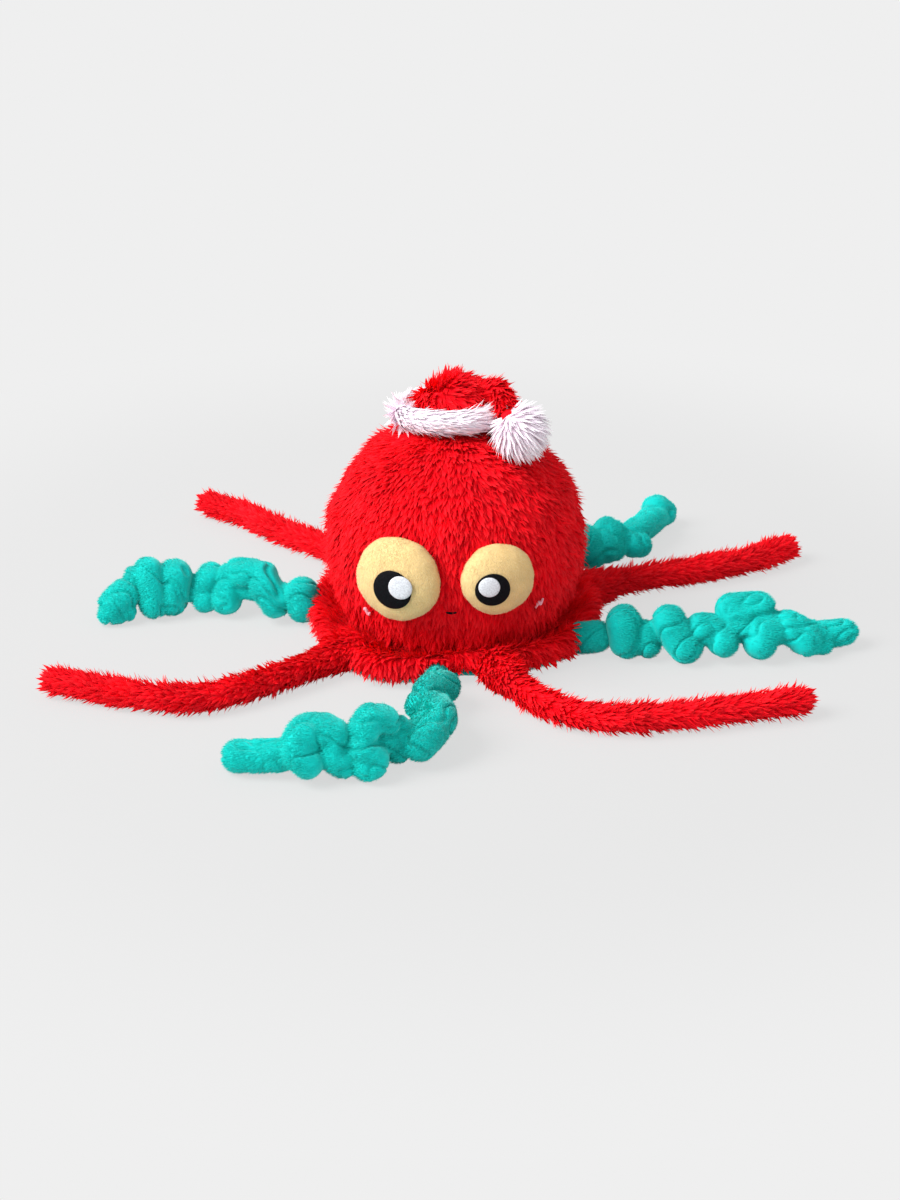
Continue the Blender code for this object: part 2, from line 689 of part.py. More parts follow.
def trim_ring(name, grow, finish=None):
    bpy.ops.mesh.primitive_torus_add(
        major_segments=TRIM_STEPS,
        minor_segments=TRIM_ROLL_STEPS,
        major_radius=TRIM_RING_RADIUS,
        minor_radius=TRIM_ROLL_RADIUS + grow,
    )
    raw = bpy.context.object
    mesh = raw.data.copy()
    bpy.data.objects.remove(raw, do_unlink=True)
    obj = add_mesh(name, mesh, finish)
    obj.matrix_world = hat_place
    return obj


def crown_form(name, grow, finish=None):
    """The crown's full form, a tall ball that leans towards the tail. The visible crown ends at the trim."""
    bm = bmesh.new()
    bmesh.ops.create_uvsphere(bm, u_segments=CROWN_SEGMENTS, v_segments=CROWN_RINGS, radius=1)
    if finish == RED_PLUSH:
        slice_off(bm, Vector((0, 0, CROWN_HEM_SHARE)), Vector((0, 0, 1)))
    mesh = mesh_of(bm, name)
    wide = CROWN_RADIUS + grow
    mesh.transform(Matrix.Diagonal((wide, wide, CROWN_HEIGHT + grow, 1)))
    lean = polar(CROWN_SHEAR_AZIMUTH) * CROWN_SHEAR_SHARE
    shear = Matrix.Identity(4)
    shear[0][2], shear[1][2] = lean.x, lean.y
    mesh.transform(shear)
    obj = add_mesh(name, mesh, finish)
    obj.matrix_world = hat_place
    return obj


def pompom_form(name, grow, finish=None):
    obj = add_mesh(name, ball_mesh(name, POMPOM_RADIUS + grow, CROWN_SEGMENTS, CROWN_RINGS), finish)
    obj.location = pompom_centre
    return obj


def make_hat(head_cutter, parent):
    trim = trim_ring("hat_trim", 0, WHITE_FUR)
    trim_cutter = trim_ring("trim_space", SEAM_GAP)
    crown = crown_form("hat_crown", 0, RED_PLUSH)
    crown_cutter = crown_form("crown_space", SEAM_GAP)
    stuffing = crown_form("hat_stuffing", -PLUSH_THICKNESS - SEAM_GAP, FIBREFILL)
    cut(crown, crown_form("crown_lining", -PLUSH_THICKNESS))
    for obj in (trim, crown, stuffing):
        attach(obj, parent)
        cut(obj, head_cutter)
    for obj in (crown, stuffing):
        cut(obj, trim_cutter)
    fold = hat_place @ Vector([CROWN_RADIUS * share for share in TAIL_FOLD_SHARES])
    hang = pompom_centre - fold
    lift_axis = hang.cross(Vector((0, 0, 1))).normalized()
    swing = pivot("pompom_pivot", fold, lift_axis, parent)
    make_tail(fold, swing, (crown_cutter, trim_cutter, head_cutter))
    pompom = pompom_form("pompom", 0, WHITE_FUR)
    attach(pompom, swing)
    cut(pompom, head_cutter)
    cut(pompom, trim_cutter)


def make_tail(fold, swing, cutters):
    """The hat's tip: it leaves the crown, folds over its side and ends in the pompom."""
    inside = hat_place @ Vector([CROWN_RADIUS * share / 2 for share in TAIL_FOLD_SHARES])
    shoulder = fold + (fold - inside) * TAIL_SHOULDER_SHARE
    path = Route(smooth([inside, fold, shoulder.lerp(pompom_centre, TAIL_SAG_SHARE), pompom_centre]))
    stations = [path.length * i / (TAIL_POINTS - 1) for i in range(TAIL_POINTS)]
    radii = [TAIL_ROOT_RADIUS + (TAIL_END_RADIUS - TAIL_ROOT_RADIUS) * s / path.length for s in stations]
    places = [path.at(s) for s in stations]
    tail = add_mesh("hat_tail", tube_mesh("hat_tail", places, radii, LEG_RESOLUTION), RED_PLUSH)
    attach(tail, swing)
    for cutter in cutters:
        cut(tail, cutter)
    return cut(tail, pompom_form("pompom_space", SEAM_GAP))


# Legs


def level(heading):
    """The same heading with no rise."""
    return Vector((heading.x, heading.y, 0)).normalized()


def lift_axis_of(heading):
    """The level axis about which a leg rises when it turns by the right-hand rule."""
    return heading.cross(Vector((0, 0, 1))).normalized()


def make_fur_leg(name, azimuth, reach, shares, skirt_cutter, floor, parent):
    """A stuffed fur tube in four lengths: the fold at the rim, the inner leg, the knee and the outer leg."""
    route = leg_route(azimuth, reach, shares, lambda to_end: FUR_LEG_RADIUS - FLOOR_DIP)
    knee = rim_roll + (route.length - rim_roll) * KNEE_SHARE
    root_end = rim_roll + ROOT_FOLD_LENGTH
    knee_start, knee_end = knee - KNEE_LENGTH / 2, knee + KNEE_LENGTH / 2
    lift = pivot(name + "_lift", route.at(rim_roll), lift_axis_of(polar(azimuth)), parent)
    bend = pivot(name + "_bend", route.at(knee), lift_axis_of(route.heading(knee)), lift)

    def piece(suffix, stations, radii, owner):
        mesh = tube_mesh(name + suffix, [route.at(s) for s in stations], radii, LEG_RESOLUTION)
        obj = add_mesh(name + suffix, mesh, RED_PLUSH)
        attach(obj, owner)
        return cut(obj, floor)

    stations = route.stations(0, root_end, FUR_LEG_SPACING / 2)
    flare = [FUR_LEG_RADIUS + FUR_LEG_FLARE * max(1 - s / root_end, 0) ** FLARE_FADE_SHARE for s in stations]
    flare[-2:] = [FUR_LEG_RADIUS] * 2
    cut(piece("_root_fold", stations, flare, lift), skirt_cutter)
    stations = route.stations(root_end + FOLD_GAP, knee_start - FOLD_GAP, FUR_LEG_SPACING)
    piece("_inner", stations, [FUR_LEG_RADIUS] * len(stations), lift)
    stations = route.stations(knee_start, knee_end, KNEE_LENGTH / 2)
    piece("_knee", stations, [FUR_LEG_RADIUS] * len(stations), bend)
    stations = dome_stations(route.length, knee_end + FOLD_GAP, FUR_LEG_SPACING, FUR_LEG_RADIUS)
    piece("_outer", stations, domed(FUR_LEG_RADIUS, stations, route.length), bend)


def eased(value, start, end):
    """0 up to start and 1 from end, with a smooth rise between them."""
    share = min(max((value - start) / (end - start), 0), 1)
    return share**2 * (3 - 2 * share)


def sleeve_form(route, stations, sleeve_end, tip_radius):
    """Centres and radii of a gathered sleeve: its lumps wind round the elastic and its ends are drawn in."""
    centres, radii = [], []
    for along in stations:
        past_rim = along - rim_roll
        to_end = sleeve_end - SQUARE_END - along
        full = eased(min(past_rim, to_end), 0, SLEEVE_NECK_LENGTH)
        neck = SLEEVE_NECK_RADIUS if past_rim < to_end else tip_radius
        lump = 1 + SLEEVE_LUMP_SHARE * math.cos(math.tau * past_rim / SLEEVE_LUMP_PITCH)
        turn = math.tau * past_rim / SLEEVE_TWIST_PITCH
        side = lift_axis_of(route.heading(along))
        offset = side * math.sin(turn) + Vector((0, 0, 1)) * math.cos(turn)
        centres.append(route.at(along) + offset * SLEEVE_TWIST_RADIUS * full)
        radii.append(neck + (SLEEVE_RADIUS * lump - neck) * full)
    return centres, radii


def elastic_form(name, route, end, margin):
    """The elastic's own form along the sleeve, or with a margin the bore that it needs."""
    stations = [-margin, *route.stations(0, end, ELASTIC_SPACING)[1:-1], end + margin]
    places = [route.at(s) for s in stations]
    return tube_mesh(name, places, [ELASTIC_RADIUS + margin] * len(places), ELASTIC_RESOLUTION)


def make_velvet_leg(name, azimuth, reach, tip_radius, tip_length, shares, skirt_cutter, floor, parent):
    """A wide velvet sleeve gathered on an elastic, and the plain end that the elastic is sewn into."""
    high = SLEEVE_RADIUS * (1 + SLEEVE_LUMP_SHARE) + SLEEVE_TWIST_RADIUS - FLOOR_DIP
    low = tip_radius - FLOOR_DIP

    def height_at(to_end):
        return low + (high - low) * eased(to_end, tip_radius, tip_length + SLEEVE_NECK_LENGTH)

    route = leg_route(azimuth, reach, shares, height_at)
    sleeve_end = route.length - tip_length
    lift = pivot(name + "_lift", route.at(rim_roll), lift_axis_of(polar(azimuth)), parent)
    slide = pivot(name + "_stretch", route.at(sleeve_end), level(route.heading(sleeve_end)), lift)

    centres, radii = sleeve_form(route, route.stations(0, sleeve_end, SLEEVE_SPACING), sleeve_end, tip_radius)
    sleeve_mesh = tube_mesh(name + "_sleeve", centres, radii, SLEEVE_RESOLUTION)
    sleeve = add_mesh(name + "_sleeve", sleeve_mesh, TURQUOISE_VELVET)
    attach(sleeve, lift)

    elastic_end = sleeve_end + ELASTIC_SEAT_DEPTH
    elastic = add_mesh(name + "_elastic", elastic_form(name + "_elastic", route, elastic_end, 0), RUBBER)
    attach(elastic, lift)
    bore = add_mesh(name + "_bore", elastic_form(name + "_bore", route, elastic_end, SEAM_GAP))

    stations = dome_stations(route.length, sleeve_end + FOLD_GAP, TIP_SPACING, tip_radius)
    places = [route.at(s) for s in stations]
    tip_mesh = tube_mesh(name + "_end", places, domed(tip_radius, stations, route.length), LEG_RESOLUTION)
    tip = add_mesh(name + "_end", tip_mesh, TURQUOISE_VELVET)
    attach(tip, slide)

    cut(sleeve, skirt_cutter)
    cut(elastic, skirt_cutter)
    for obj in (sleeve, tip):
        cut(obj, floor)
        cut(obj, bore)


def main():
    body = bpy.data.objects.new("octopus_body", None)
    parts.objects.link(body)
    floor = floor_cutter()
    head_cutter = head_space()
    skirt_cutter = skirt_space()
    make_head(body)
    make_skirt(head_cutter, body)
    make_face(head_cutter, body)
    make_hat(head_cutter, body)
    for name, (azimuth, reach, shares) in FUR_LEGS.items():
        make_fur_leg(name, azimuth, reach, shares, skirt_cutter, floor, body)
    for name, (azimuth, reach, tip_radius, tip_length, shares) in VELVET_LEGS.items():
        make_velvet_leg(name, azimuth, reach, tip_radius, tip_length, shares, skirt_cutter, floor, body)


main()
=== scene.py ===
# %% [markdown]
# # A plush octopus in a fur hat
#
# A stuffed ball in long-pile plush sits in a puffed skirt with eight legs: four thin stuffed tubes of the same
# plush, and four wide velvet sleeves gathered on an elastic. It wears a small hat with a white fur trim and a
# pompom. All of it is cloth and thread, so the picture lives from pile: how long it is, which way it lies and
# how light its tips are.
#
# Each piece first gets a skin, a smooth closed mesh a few millimetres inside the toy's outline. Then a small
# node tree plants tufts on that skin. Last, the piece takes the place of its solids, and most pieces are
# tied to a body of the moving model.

import math

import bmesh
import bpy
import numpy as np
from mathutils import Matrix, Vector, noise
from mathutils.bvhtree import BVHTree


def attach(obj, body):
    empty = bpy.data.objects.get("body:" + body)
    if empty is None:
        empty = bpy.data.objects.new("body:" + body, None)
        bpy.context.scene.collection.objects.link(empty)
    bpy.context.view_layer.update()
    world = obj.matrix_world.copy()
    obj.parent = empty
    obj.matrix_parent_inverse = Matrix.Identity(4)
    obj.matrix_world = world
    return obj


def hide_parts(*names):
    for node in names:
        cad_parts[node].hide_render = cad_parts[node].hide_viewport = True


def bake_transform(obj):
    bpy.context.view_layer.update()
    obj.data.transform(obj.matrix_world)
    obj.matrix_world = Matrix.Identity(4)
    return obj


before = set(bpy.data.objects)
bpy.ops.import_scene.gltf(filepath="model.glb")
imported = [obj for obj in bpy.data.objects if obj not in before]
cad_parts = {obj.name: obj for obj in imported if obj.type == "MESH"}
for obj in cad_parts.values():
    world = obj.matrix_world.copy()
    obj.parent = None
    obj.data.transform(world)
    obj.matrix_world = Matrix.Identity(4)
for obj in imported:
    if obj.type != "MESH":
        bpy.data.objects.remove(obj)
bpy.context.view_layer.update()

# %% [markdown]
# ## Sizes
#
# The model is in metres, and cloth is thought of in millimetres, so a size is written as a number times MM.
# These are the toy's driving sizes. The rest follow from them, or stand beside the piece that they shape.

# %% The toy's driving sizes
MM = 0.001
HEAD_RADIUS = 75 * MM
HEAD_CENTRE = np.array([0, 0, 54 * MM])
CREASE_HEIGHT = 12 * MM
SKIRT_WIDTH = 22 * MM
RIM_ROLL = 10 * MM
PILE_HEIGHT = 4.5 * MM
FLOOR_CLEARANCE = 0.3 * MM

crease_radius = math.sqrt(HEAD_RADIUS**2 - (HEAD_CENTRE[2] - CREASE_HEIGHT) ** 2)
rim_radius = crease_radius + SKIRT_WIDTH
print("skirt crease and rim radius in mm", round(crease_radius / MM, 1), round(rim_radius / MM, 1))

# %% [markdown]
# ## Camera
#
# The picture is taken from the front, 25 degrees above the table, with a 78 mm lens on an upright full frame.
# A long lens from a metre and a half away keeps the legs from looking stretched at the edges.

# %% Place the camera
CAMERA_DISTANCE = 1.5
CAMERA_ELEVATION = 25.0
CAMERA_AIM = Vector((-2.9, 5.9, 12.6)) * MM
LENS_MM = 78

tilt = math.radians(CAMERA_ELEVATION)
camera_data = bpy.data.cameras.new("camera")
camera_data.lens = LENS_MM
camera = bpy.data.objects.new("camera", camera_data)
bpy.context.scene.collection.objects.link(camera)
away = Vector((0, -math.cos(tilt), math.sin(tilt)))
camera.location = CAMERA_AIM + away * CAMERA_DISTANCE
camera.rotation_euler = (-away).to_track_quat("-Z", "Y").to_euler()
bpy.context.scene.camera = camera
print("camera at", [round(x, 3) for x in camera.location])

# %% [markdown]
# ## Colours and nodes
#
# Colours are read off cloth as the eye sees them, in sRGB, while shaders work in linear light, so one function
# turns a hex colour into linear values. A second adds a node to any tree, sets it and joins its inputs, and a
# third starts a material with its constant values.

# %% Small helpers for every node tree
def linear(hex_colour):
    """A hex sRGB colour as linear red, green, blue and alpha."""
    parts = [int(hex_colour[i : i + 2], 16) / 255 for i in (1, 3, 5)]
    return (*[c / 12.92 if c <= 0.04045 else ((c + 0.055) / 1.055) ** 2.4 for c in parts], 1)


def add_node(tree, kind, inputs=None, **settings):
    """Adds a node. An input is a value, a socket or, for its first output, a node."""
    made = tree.nodes.new(kind)
    for name, value in settings.items():
        setattr(made, name, value)
    for key, value in (inputs or {}).items():
        if isinstance(value, bpy.types.Node):
            value = value.outputs[0]
        if isinstance(value, bpy.types.NodeSocket):
            tree.links.new(value, made.inputs[key])
        else:
            made.inputs[key].default_value = value
    return made


def new_material(name, constants):
    """A material, its tree and its Principled shader with the constants set."""
    made = bpy.data.materials.new(name)
    made.use_nodes = True
    shader = made.node_tree.nodes["Principled BSDF"]
    for key, value in constants.items():
        shader.inputs[key].default_value = value
    return made, made.node_tree, shader


print("red at half strength is", [round(c, 2) for c in linear("#800000")[:3]], "in linear light")

# %% [markdown]
# ## Pile materials
#
# Plush, velvet and fur are all pile: fibres standing in a woven ground. Little light comes back from deep
# between the fibres, so a tuft's root is darker and more saturated than its tip. Each tuft carries how far
# along the fibre a point is, and a random value. The material mixes a root, a body and a tip colour along the
# fibre, then shifts whole tufts and whole patches a little lighter or darker. Sheen stands for the fuzz that
# is too fine to model, which brightens edges seen from the side. Polyester is clear plastic dyed through, so
# part of the light goes through each tuft into the next, or every gap would be black. The woven ground lets
# nothing through.

# %% A material for any pile
PILE_ROUGHNESS = 0.65
BODY_AT = 0.45
PATCH_LEVELS = (0.3, 0.7)
GROUND_END = 0.1


def pile_material(name, root, body, tip, patch_size, tuft_shift, patch_shift, sheen, sheen_tint, through):
    constants = {
        "Roughness": PILE_ROUGHNESS,
        "Specular IOR Level": 0.1,
        "Sheen Weight": sheen,
        "Sheen Roughness": 0.4,
        "Sheen Tint": linear(sheen_tint),
    }
    made, tree, shader = new_material(name, constants)
    along = add_node(tree, "ShaderNodeAttribute", attribute_name="along").outputs["Fac"]
    tuft = add_node(tree, "ShaderNodeAttribute", attribute_name="tuft").outputs["Fac"]
    place = add_node(tree, "ShaderNodeTexCoord").outputs["Object"]
    noise_inputs = {"Vector": place, "Scale": 1 / patch_size, "Detail": 3.0, "Roughness": 0.6}
    patches = add_node(tree, "ShaderNodeTexNoise", noise_inputs)
    ramp = add_node(tree, "ShaderNodeValToRGB", {"Fac": along})
    for element, colour in zip(ramp.color_ramp.elements, (root, tip)):
        element.color = linear(colour)
    ramp.color_ramp.elements.new(BODY_AT).color = linear(body)
    tuft_span = {"Value": tuft, "To Min": 1 - tuft_shift, "To Max": 1 + tuft_shift}
    patch_span = {"Value": patches, "To Min": 1 - patch_shift, "To Max": 1 + patch_shift}
    patch_span.update({"From Min": PATCH_LEVELS[0], "From Max": PATCH_LEVELS[1]})
    gains = [add_node(tree, "ShaderNodeMapRange", span) for span in (tuft_span, patch_span)]
    gain = add_node(tree, "ShaderNodeMath", {0: gains[0], 1: gains[1]}, operation="MULTIPLY")
    shaded = add_node(tree, "ShaderNodeVectorMath", {0: ramp, "Scale": gain.outputs[0]}, operation="SCALE")
    tree.links.new(shaded.outputs[0], shader.inputs["Base Color"])
    passing = add_node(tree, "ShaderNodeBsdfTranslucent", {"Color": shaded})
    share = add_node(tree, "ShaderNodeMapRange", {"Value": along, "From Max": GROUND_END, "To Max": through})
    cloth = add_node(tree, "ShaderNodeMixShader", {0: share, 1: shader, 2: passing})
    tree.links.new(cloth.outputs[0], tree.nodes["Material Output"].inputs["Surface"])
    return made


# Long-pile polyester plush, brushed: a clear red, with tips painted a little lighter and more orange as painted
# highlight where the locks catch the light
red_plush = pile_material(
    "brushed_polyester_plush_red", "#F80820", "#FD0A20", "#FF2630", 22 * MM, 0.07, 0.1, 0.2, "#FF5A50", 0.25
)
# Short-pile polyester velvet: turquoise, with tips painted paler as painted sheen for the pale bloom where the
# pile is seen from the side, on top of the shader's sheen
turquoise_velvet = pile_material(
    "polyester_velvet_turquoise", "#04CEC6", "#06DAD2", "#34ECE0", 12 * MM, 0.04, 0.1, 0.9, "#98F8EE", 0.2
)
# Velboa, a very short knitted pile: soft yellow, blotched where the pile lies over
yellow_velboa = pile_material(
    "knitted_velboa_yellow", "#EED092", "#F1DCAA", "#F5E4BE", 9 * MM, 0.02, 0.06, 0.2, "#FFF4D6", 0.25
)
# Long straight acrylic fur: white, its roots painted a touch darker and lilac as painted shade and painted
# reflected light from the red plush deep in the fur
white_fur = pile_material(
    "straight_acrylic_fur_white", "#FFF0FA", "#FFF6FE", "#FFFCFF", 12 * MM, 0.01, 0.01, 0.3, "#FFFFFF", 0.3
)
print("pile materials", [m.name for m in (red_plush, turquoise_velvet, yellow_velboa, white_fur)])

# %% [markdown]
# ## Thread, filling, elastic and polythene
#
# The face is machine embroidery. Rayon thread lies side by side and shines across its run, so it is smoother
# than any pile and gets a fine noise of light and dark at the width of a thread. The filling, the elastic and
# the squeaker are out of sight, and have plain finishes: loose fibre, covered rubber and cloudy polythene.

# %% The plain finishes
SPECKLE_LEVELS = (0.35, 0.65)


def plain_material(name, dark, light, grain, roughness, sheen=0.0, bump=0.0, gloss=0.3):
    constants = {"Roughness": roughness, "Specular IOR Level": gloss, "Sheen Weight": sheen}
    made, tree, shader = new_material(name, constants)
    place = add_node(tree, "ShaderNodeTexCoord").outputs["Object"]
    noise_inputs = {"Vector": place, "Scale": 1 / grain, "Detail": 4.0, "Roughness": 0.65}
    speckle = add_node(tree, "ShaderNodeTexNoise", noise_inputs)
    ramp = add_node(tree, "ShaderNodeValToRGB", {"Fac": speckle})
    for element, level, colour in zip(ramp.color_ramp.elements, SPECKLE_LEVELS, (dark, light)):
        element.position = level
        element.color = linear(colour)
    tree.links.new(ramp.outputs["Color"], shader.inputs["Base Color"])
    if bump:
        raised = add_node(tree, "ShaderNodeBump", {"Height": speckle, "Strength": bump, "Distance": grain / 4})
        tree.links.new(raised.outputs["Normal"], shader.inputs["Normal"])
    return made


THREAD_GRAIN = 0.9 * MM
# Rayon embroidery thread: a soft gloss, broken up at the width of a stitch
black_thread = plain_material("rayon_thread_black", "#050507", "#121318", THREAD_GRAIN, 0.7, 0.0, 0.3, 0.08)
white_thread = plain_material("rayon_thread_white", "#C4C5CC", "#E6E8EE", THREAD_GRAIN, 0.5, 0.0, 0.3, 0.1)
pink_thread = plain_material("rayon_thread_pink", "#E694A6", "#F0B6C2", THREAD_GRAIN, 0.5, 0.1, 0.3)
# Polyester fibrefill: matt white, cloudy
fibrefill = plain_material("polyester_fibrefill_white", "#DADAD6", "#F6F6F2", 3 * MM, 0.95, 0.3, 0.8)
# Elastic cord under a knitted cover: off-white and matt
covered_elastic = plain_material("covered_elastic_cream", "#CFCBBE", "#E6E3D8", 0.6 * MM, 0.8, 0.2, 0.6)
# Blown polythene: waxy, slightly cloudy
polythene = plain_material("blown_polythene_cloudy", "#D3D8D2", "#E2E6E0", 6 * MM, 0.35)
print("materials in all", len(bpy.data.materials))

# %% [markdown]
# ## Meshes from rings
#
# Most skins here are a row of rings: a tube, a turned skirt, a domed pad. One function joins the rings into a
# closed mesh, with a pole at each end or, for a ring of rings, with the last joined to the first. The others
# turn faces outwards, put a mesh in a fixed order, and tie a finished piece in place of its solids.

# %% Helpers for meshes
def unit(vectors):
    """Each vector at length one."""
    return vectors / np.maximum(np.linalg.norm(vectors, axis=-1, keepdims=True), 1e-9)


def points_of(mesh):
    """A mesh's points as an array."""
    found = np.zeros(len(mesh.vertices) * 3, np.float32)
    mesh.vertices.foreach_get("co", found)
    return found.reshape(-1, 3).astype(float)


def set_points(mesh, points):
    mesh.vertices.foreach_set("co", points.astype(np.float32).ravel())
    mesh.update()


def outwards(mesh):
    """Turns every face of a closed mesh outwards and shades it smooth."""
    bm = bmesh.new()
    bm.from_mesh(mesh)
    bmesh.ops.recalc_face_normals(bm, faces=bm.faces)
    if bm.calc_volume(signed=True) < 0:
        bmesh.ops.reverse_faces(bm, faces=bm.faces)
    bm.to_mesh(mesh)
    bm.free()
    mesh.shade_smooth()
    return mesh


def in_order(mesh):
    """The mesh with points and faces in the order of their places, to a micrometre. Cutting and extruding leave
    them in no fixed order, and tufts are planted by that order, so each run would grow other tufts."""
    points = points_of(mesh).round(6) + 0.0
    order = np.lexsort(points.T)
    rank = np.argsort(order).tolist()
    faces = []
    for polygon in mesh.polygons:
        face = [rank[i] for i in polygon.vertices]
        first = face.index(min(face))
        faces.append(face[first:] + face[:first])
    made = bpy.data.meshes.new(mesh.name)
    made.from_pydata(points[order].tolist(), [], sorted(faces))
    made.shade_smooth()
    return made


def loft(name, rings, loop=False):
    """A closed mesh over rings of equal counts, an array of ring, point and coordinate."""
    count, around = rings.shape[:2]
    points = rings.reshape(-1, 3)
    index = np.arange(count * around).reshape(count, around)
    if loop:
        index = np.vstack([index, index[:1]])
    low, high = index[:-1], index[1:]
    corners = (low, np.roll(low, -1, 1), np.roll(high, -1, 1), high)
    faces = [list(face) for face in np.stack(corners, -1).reshape(-1, 4)]
    if not loop:
        points = np.vstack([points, rings[0].mean(0), rings[-1].mean(0)])
        for pole, ring in ((count * around, index[0]), (count * around + 1, index[-1])):
            faces += [[pole, a, b] for a, b in zip(ring, np.roll(ring, -1))]
    mesh = bpy.data.meshes.new(name)
    mesh.from_pydata(points.tolist(), [], faces)
    return outwards(mesh)


def normals_of(mesh):
    return np.array([v.normal for v in mesh.vertices])


def laid_along(ways, normals):
    """Each way laid along the skin at its point, so that no tuft is combed into the cloth."""
    return unit(ways - normals * np.sum(ways * normals, axis=1, keepdims=True))


def dome(falls, rings, sides, wide, high, pull=1, squash=1):
    """Rings of a flattened ball, from one angle off its top to another, in degrees."""
    turns = np.linspace(0, math.tau, sides, endpoint=False)
    falls = np.radians(np.linspace(*falls, rings))[:, None]
    across = wide * np.sin(falls) * pull
    heights = high * np.cos(falls) + 0 * turns
    return np.stack([across * np.cos(turns), squash * across * np.sin(turns), heights], -1)


def link(name, mesh, finish=None):
    obj = bpy.data.objects.new(name, mesh)
    bpy.context.scene.collection.objects.link(obj)
    if finish:
        mesh.materials.append(finish)
    return obj


def made_plain(obj):
    """The object with its modifiers turned into one plain mesh."""
    graph = bpy.context.evaluated_depsgraph_get()
    mesh = bpy.data.meshes.new_from_object(obj.evaluated_get(graph), depsgraph=graph)
    obj.modifiers.clear()
    obj.data = mesh
    return obj


def tie(obj, nodes, slot, body="body"):
    """Puts a piece in place of its solids, which it hides, and rides it on a body if one is given."""
    if body:
        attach(obj, body)
    if nodes:
        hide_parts(*nodes)


print("mesh helpers ready")

# %% [markdown]
# ## The tuft
#
# A tuft of plush is a lock of some hundred fibres that cling together. A modelled fibre for each would be
# millions of faces, so the lock is one tapered blade: three sides, drawn to a point and bent over. Brushing
# lays the locks over one another like shingles, so a blade is wide and thin, and the planting tree turns its
# low ridge outwards, where the light is. A single fibre and a strand of fur are the same thing, only narrower.

# %% Make the few tuft shapes
BLADE_SECTION = ((0.25, -0.5), (0.25, 0.5), (-0.75, 0.0))


def make_tuft(name, widths, thickness, bend):
    """A closed blade of height one: a width for each ring from the root, then the tip. It bends towards +X."""
    steps = len(widths)
    points, along = [], []
    for i, width in enumerate(widths):
        t = i / steps
        points += [(width * thickness * x + bend * t * t, width * y, t) for x, y in BLADE_SECTION]
        along += [t] * 3
    points.append((bend, 0, 1))
    along.append(1)
    faces = [(2, 1, 0)]
    for i in range(steps - 1):
        for j in range(3):
            a, b = i * 3 + j, i * 3 + (j + 1) % 3
            faces.append((a, b, b + 3, a + 3))
    last = (steps - 1) * 3
    faces += [(last + j, last + (j + 1) % 3, len(points) - 1) for j in range(3)]
    mesh = bpy.data.meshes.new(name)
    mesh.from_pydata(points, [], faces)
    # A blade is too thin for smooth shading, which would draw a dark line round it
    outwards(mesh).shade_flat()
    mesh.attributes.new("along", "FLOAT", "POINT").data.foreach_set("value", along)
    obj = link(name, mesh)
    obj.hide_render = True
    return obj


plush_lock = make_tuft("plush_lock", (0.8, 1.0, 0.66), 0.22, 0.25)
plush_fibre = make_tuft("plush_fibre", (1.0, 0.75), 0.5, 0.2)
nap_fibre = make_tuft("nap_fibre", (1.0,), 0.16, 0.1)
fur_strand = make_tuft("fur_strand", (1.0, 0.8), 0.14, 0.1)
tufts = (plush_lock, plush_fibre, nap_fibre, fur_strand)
print("faces in each tuft", [len(t.data.polygons) for t in tufts])

# %% [markdown]
# ## The planting tree
#
# Geometry Nodes plant the tufts. Points are scattered over the skin at an even spacing, and only where pile
# grows. A tuft stands along the skin's normal, leans with the comb, follows a slow noise, which gives brushed
# plush its swirls, and strays a little by a seeded random value. Its size and turn vary too. The tree ends by
# making the instances real and giving them their material.

# %% Build the planting tree
NEAREST_SHARE = 0.62
DENSITY_SHARE = 1.6
TUFT_TURN = 0.5
TUFT_SIZES = (0.75, 1.2)
SHADE_SEED = 7
PILE_INPUTS = {"Tuft": "Object", "Seed": "Int", "Material": "Material"}
FLOAT_INPUTS = ("Spacing", "Length", "Width", "Lean", "Stray", "Swirl", "Swirl Size")
PILE_INPUTS.update({name: "Float" for name in FLOAT_INPUTS})


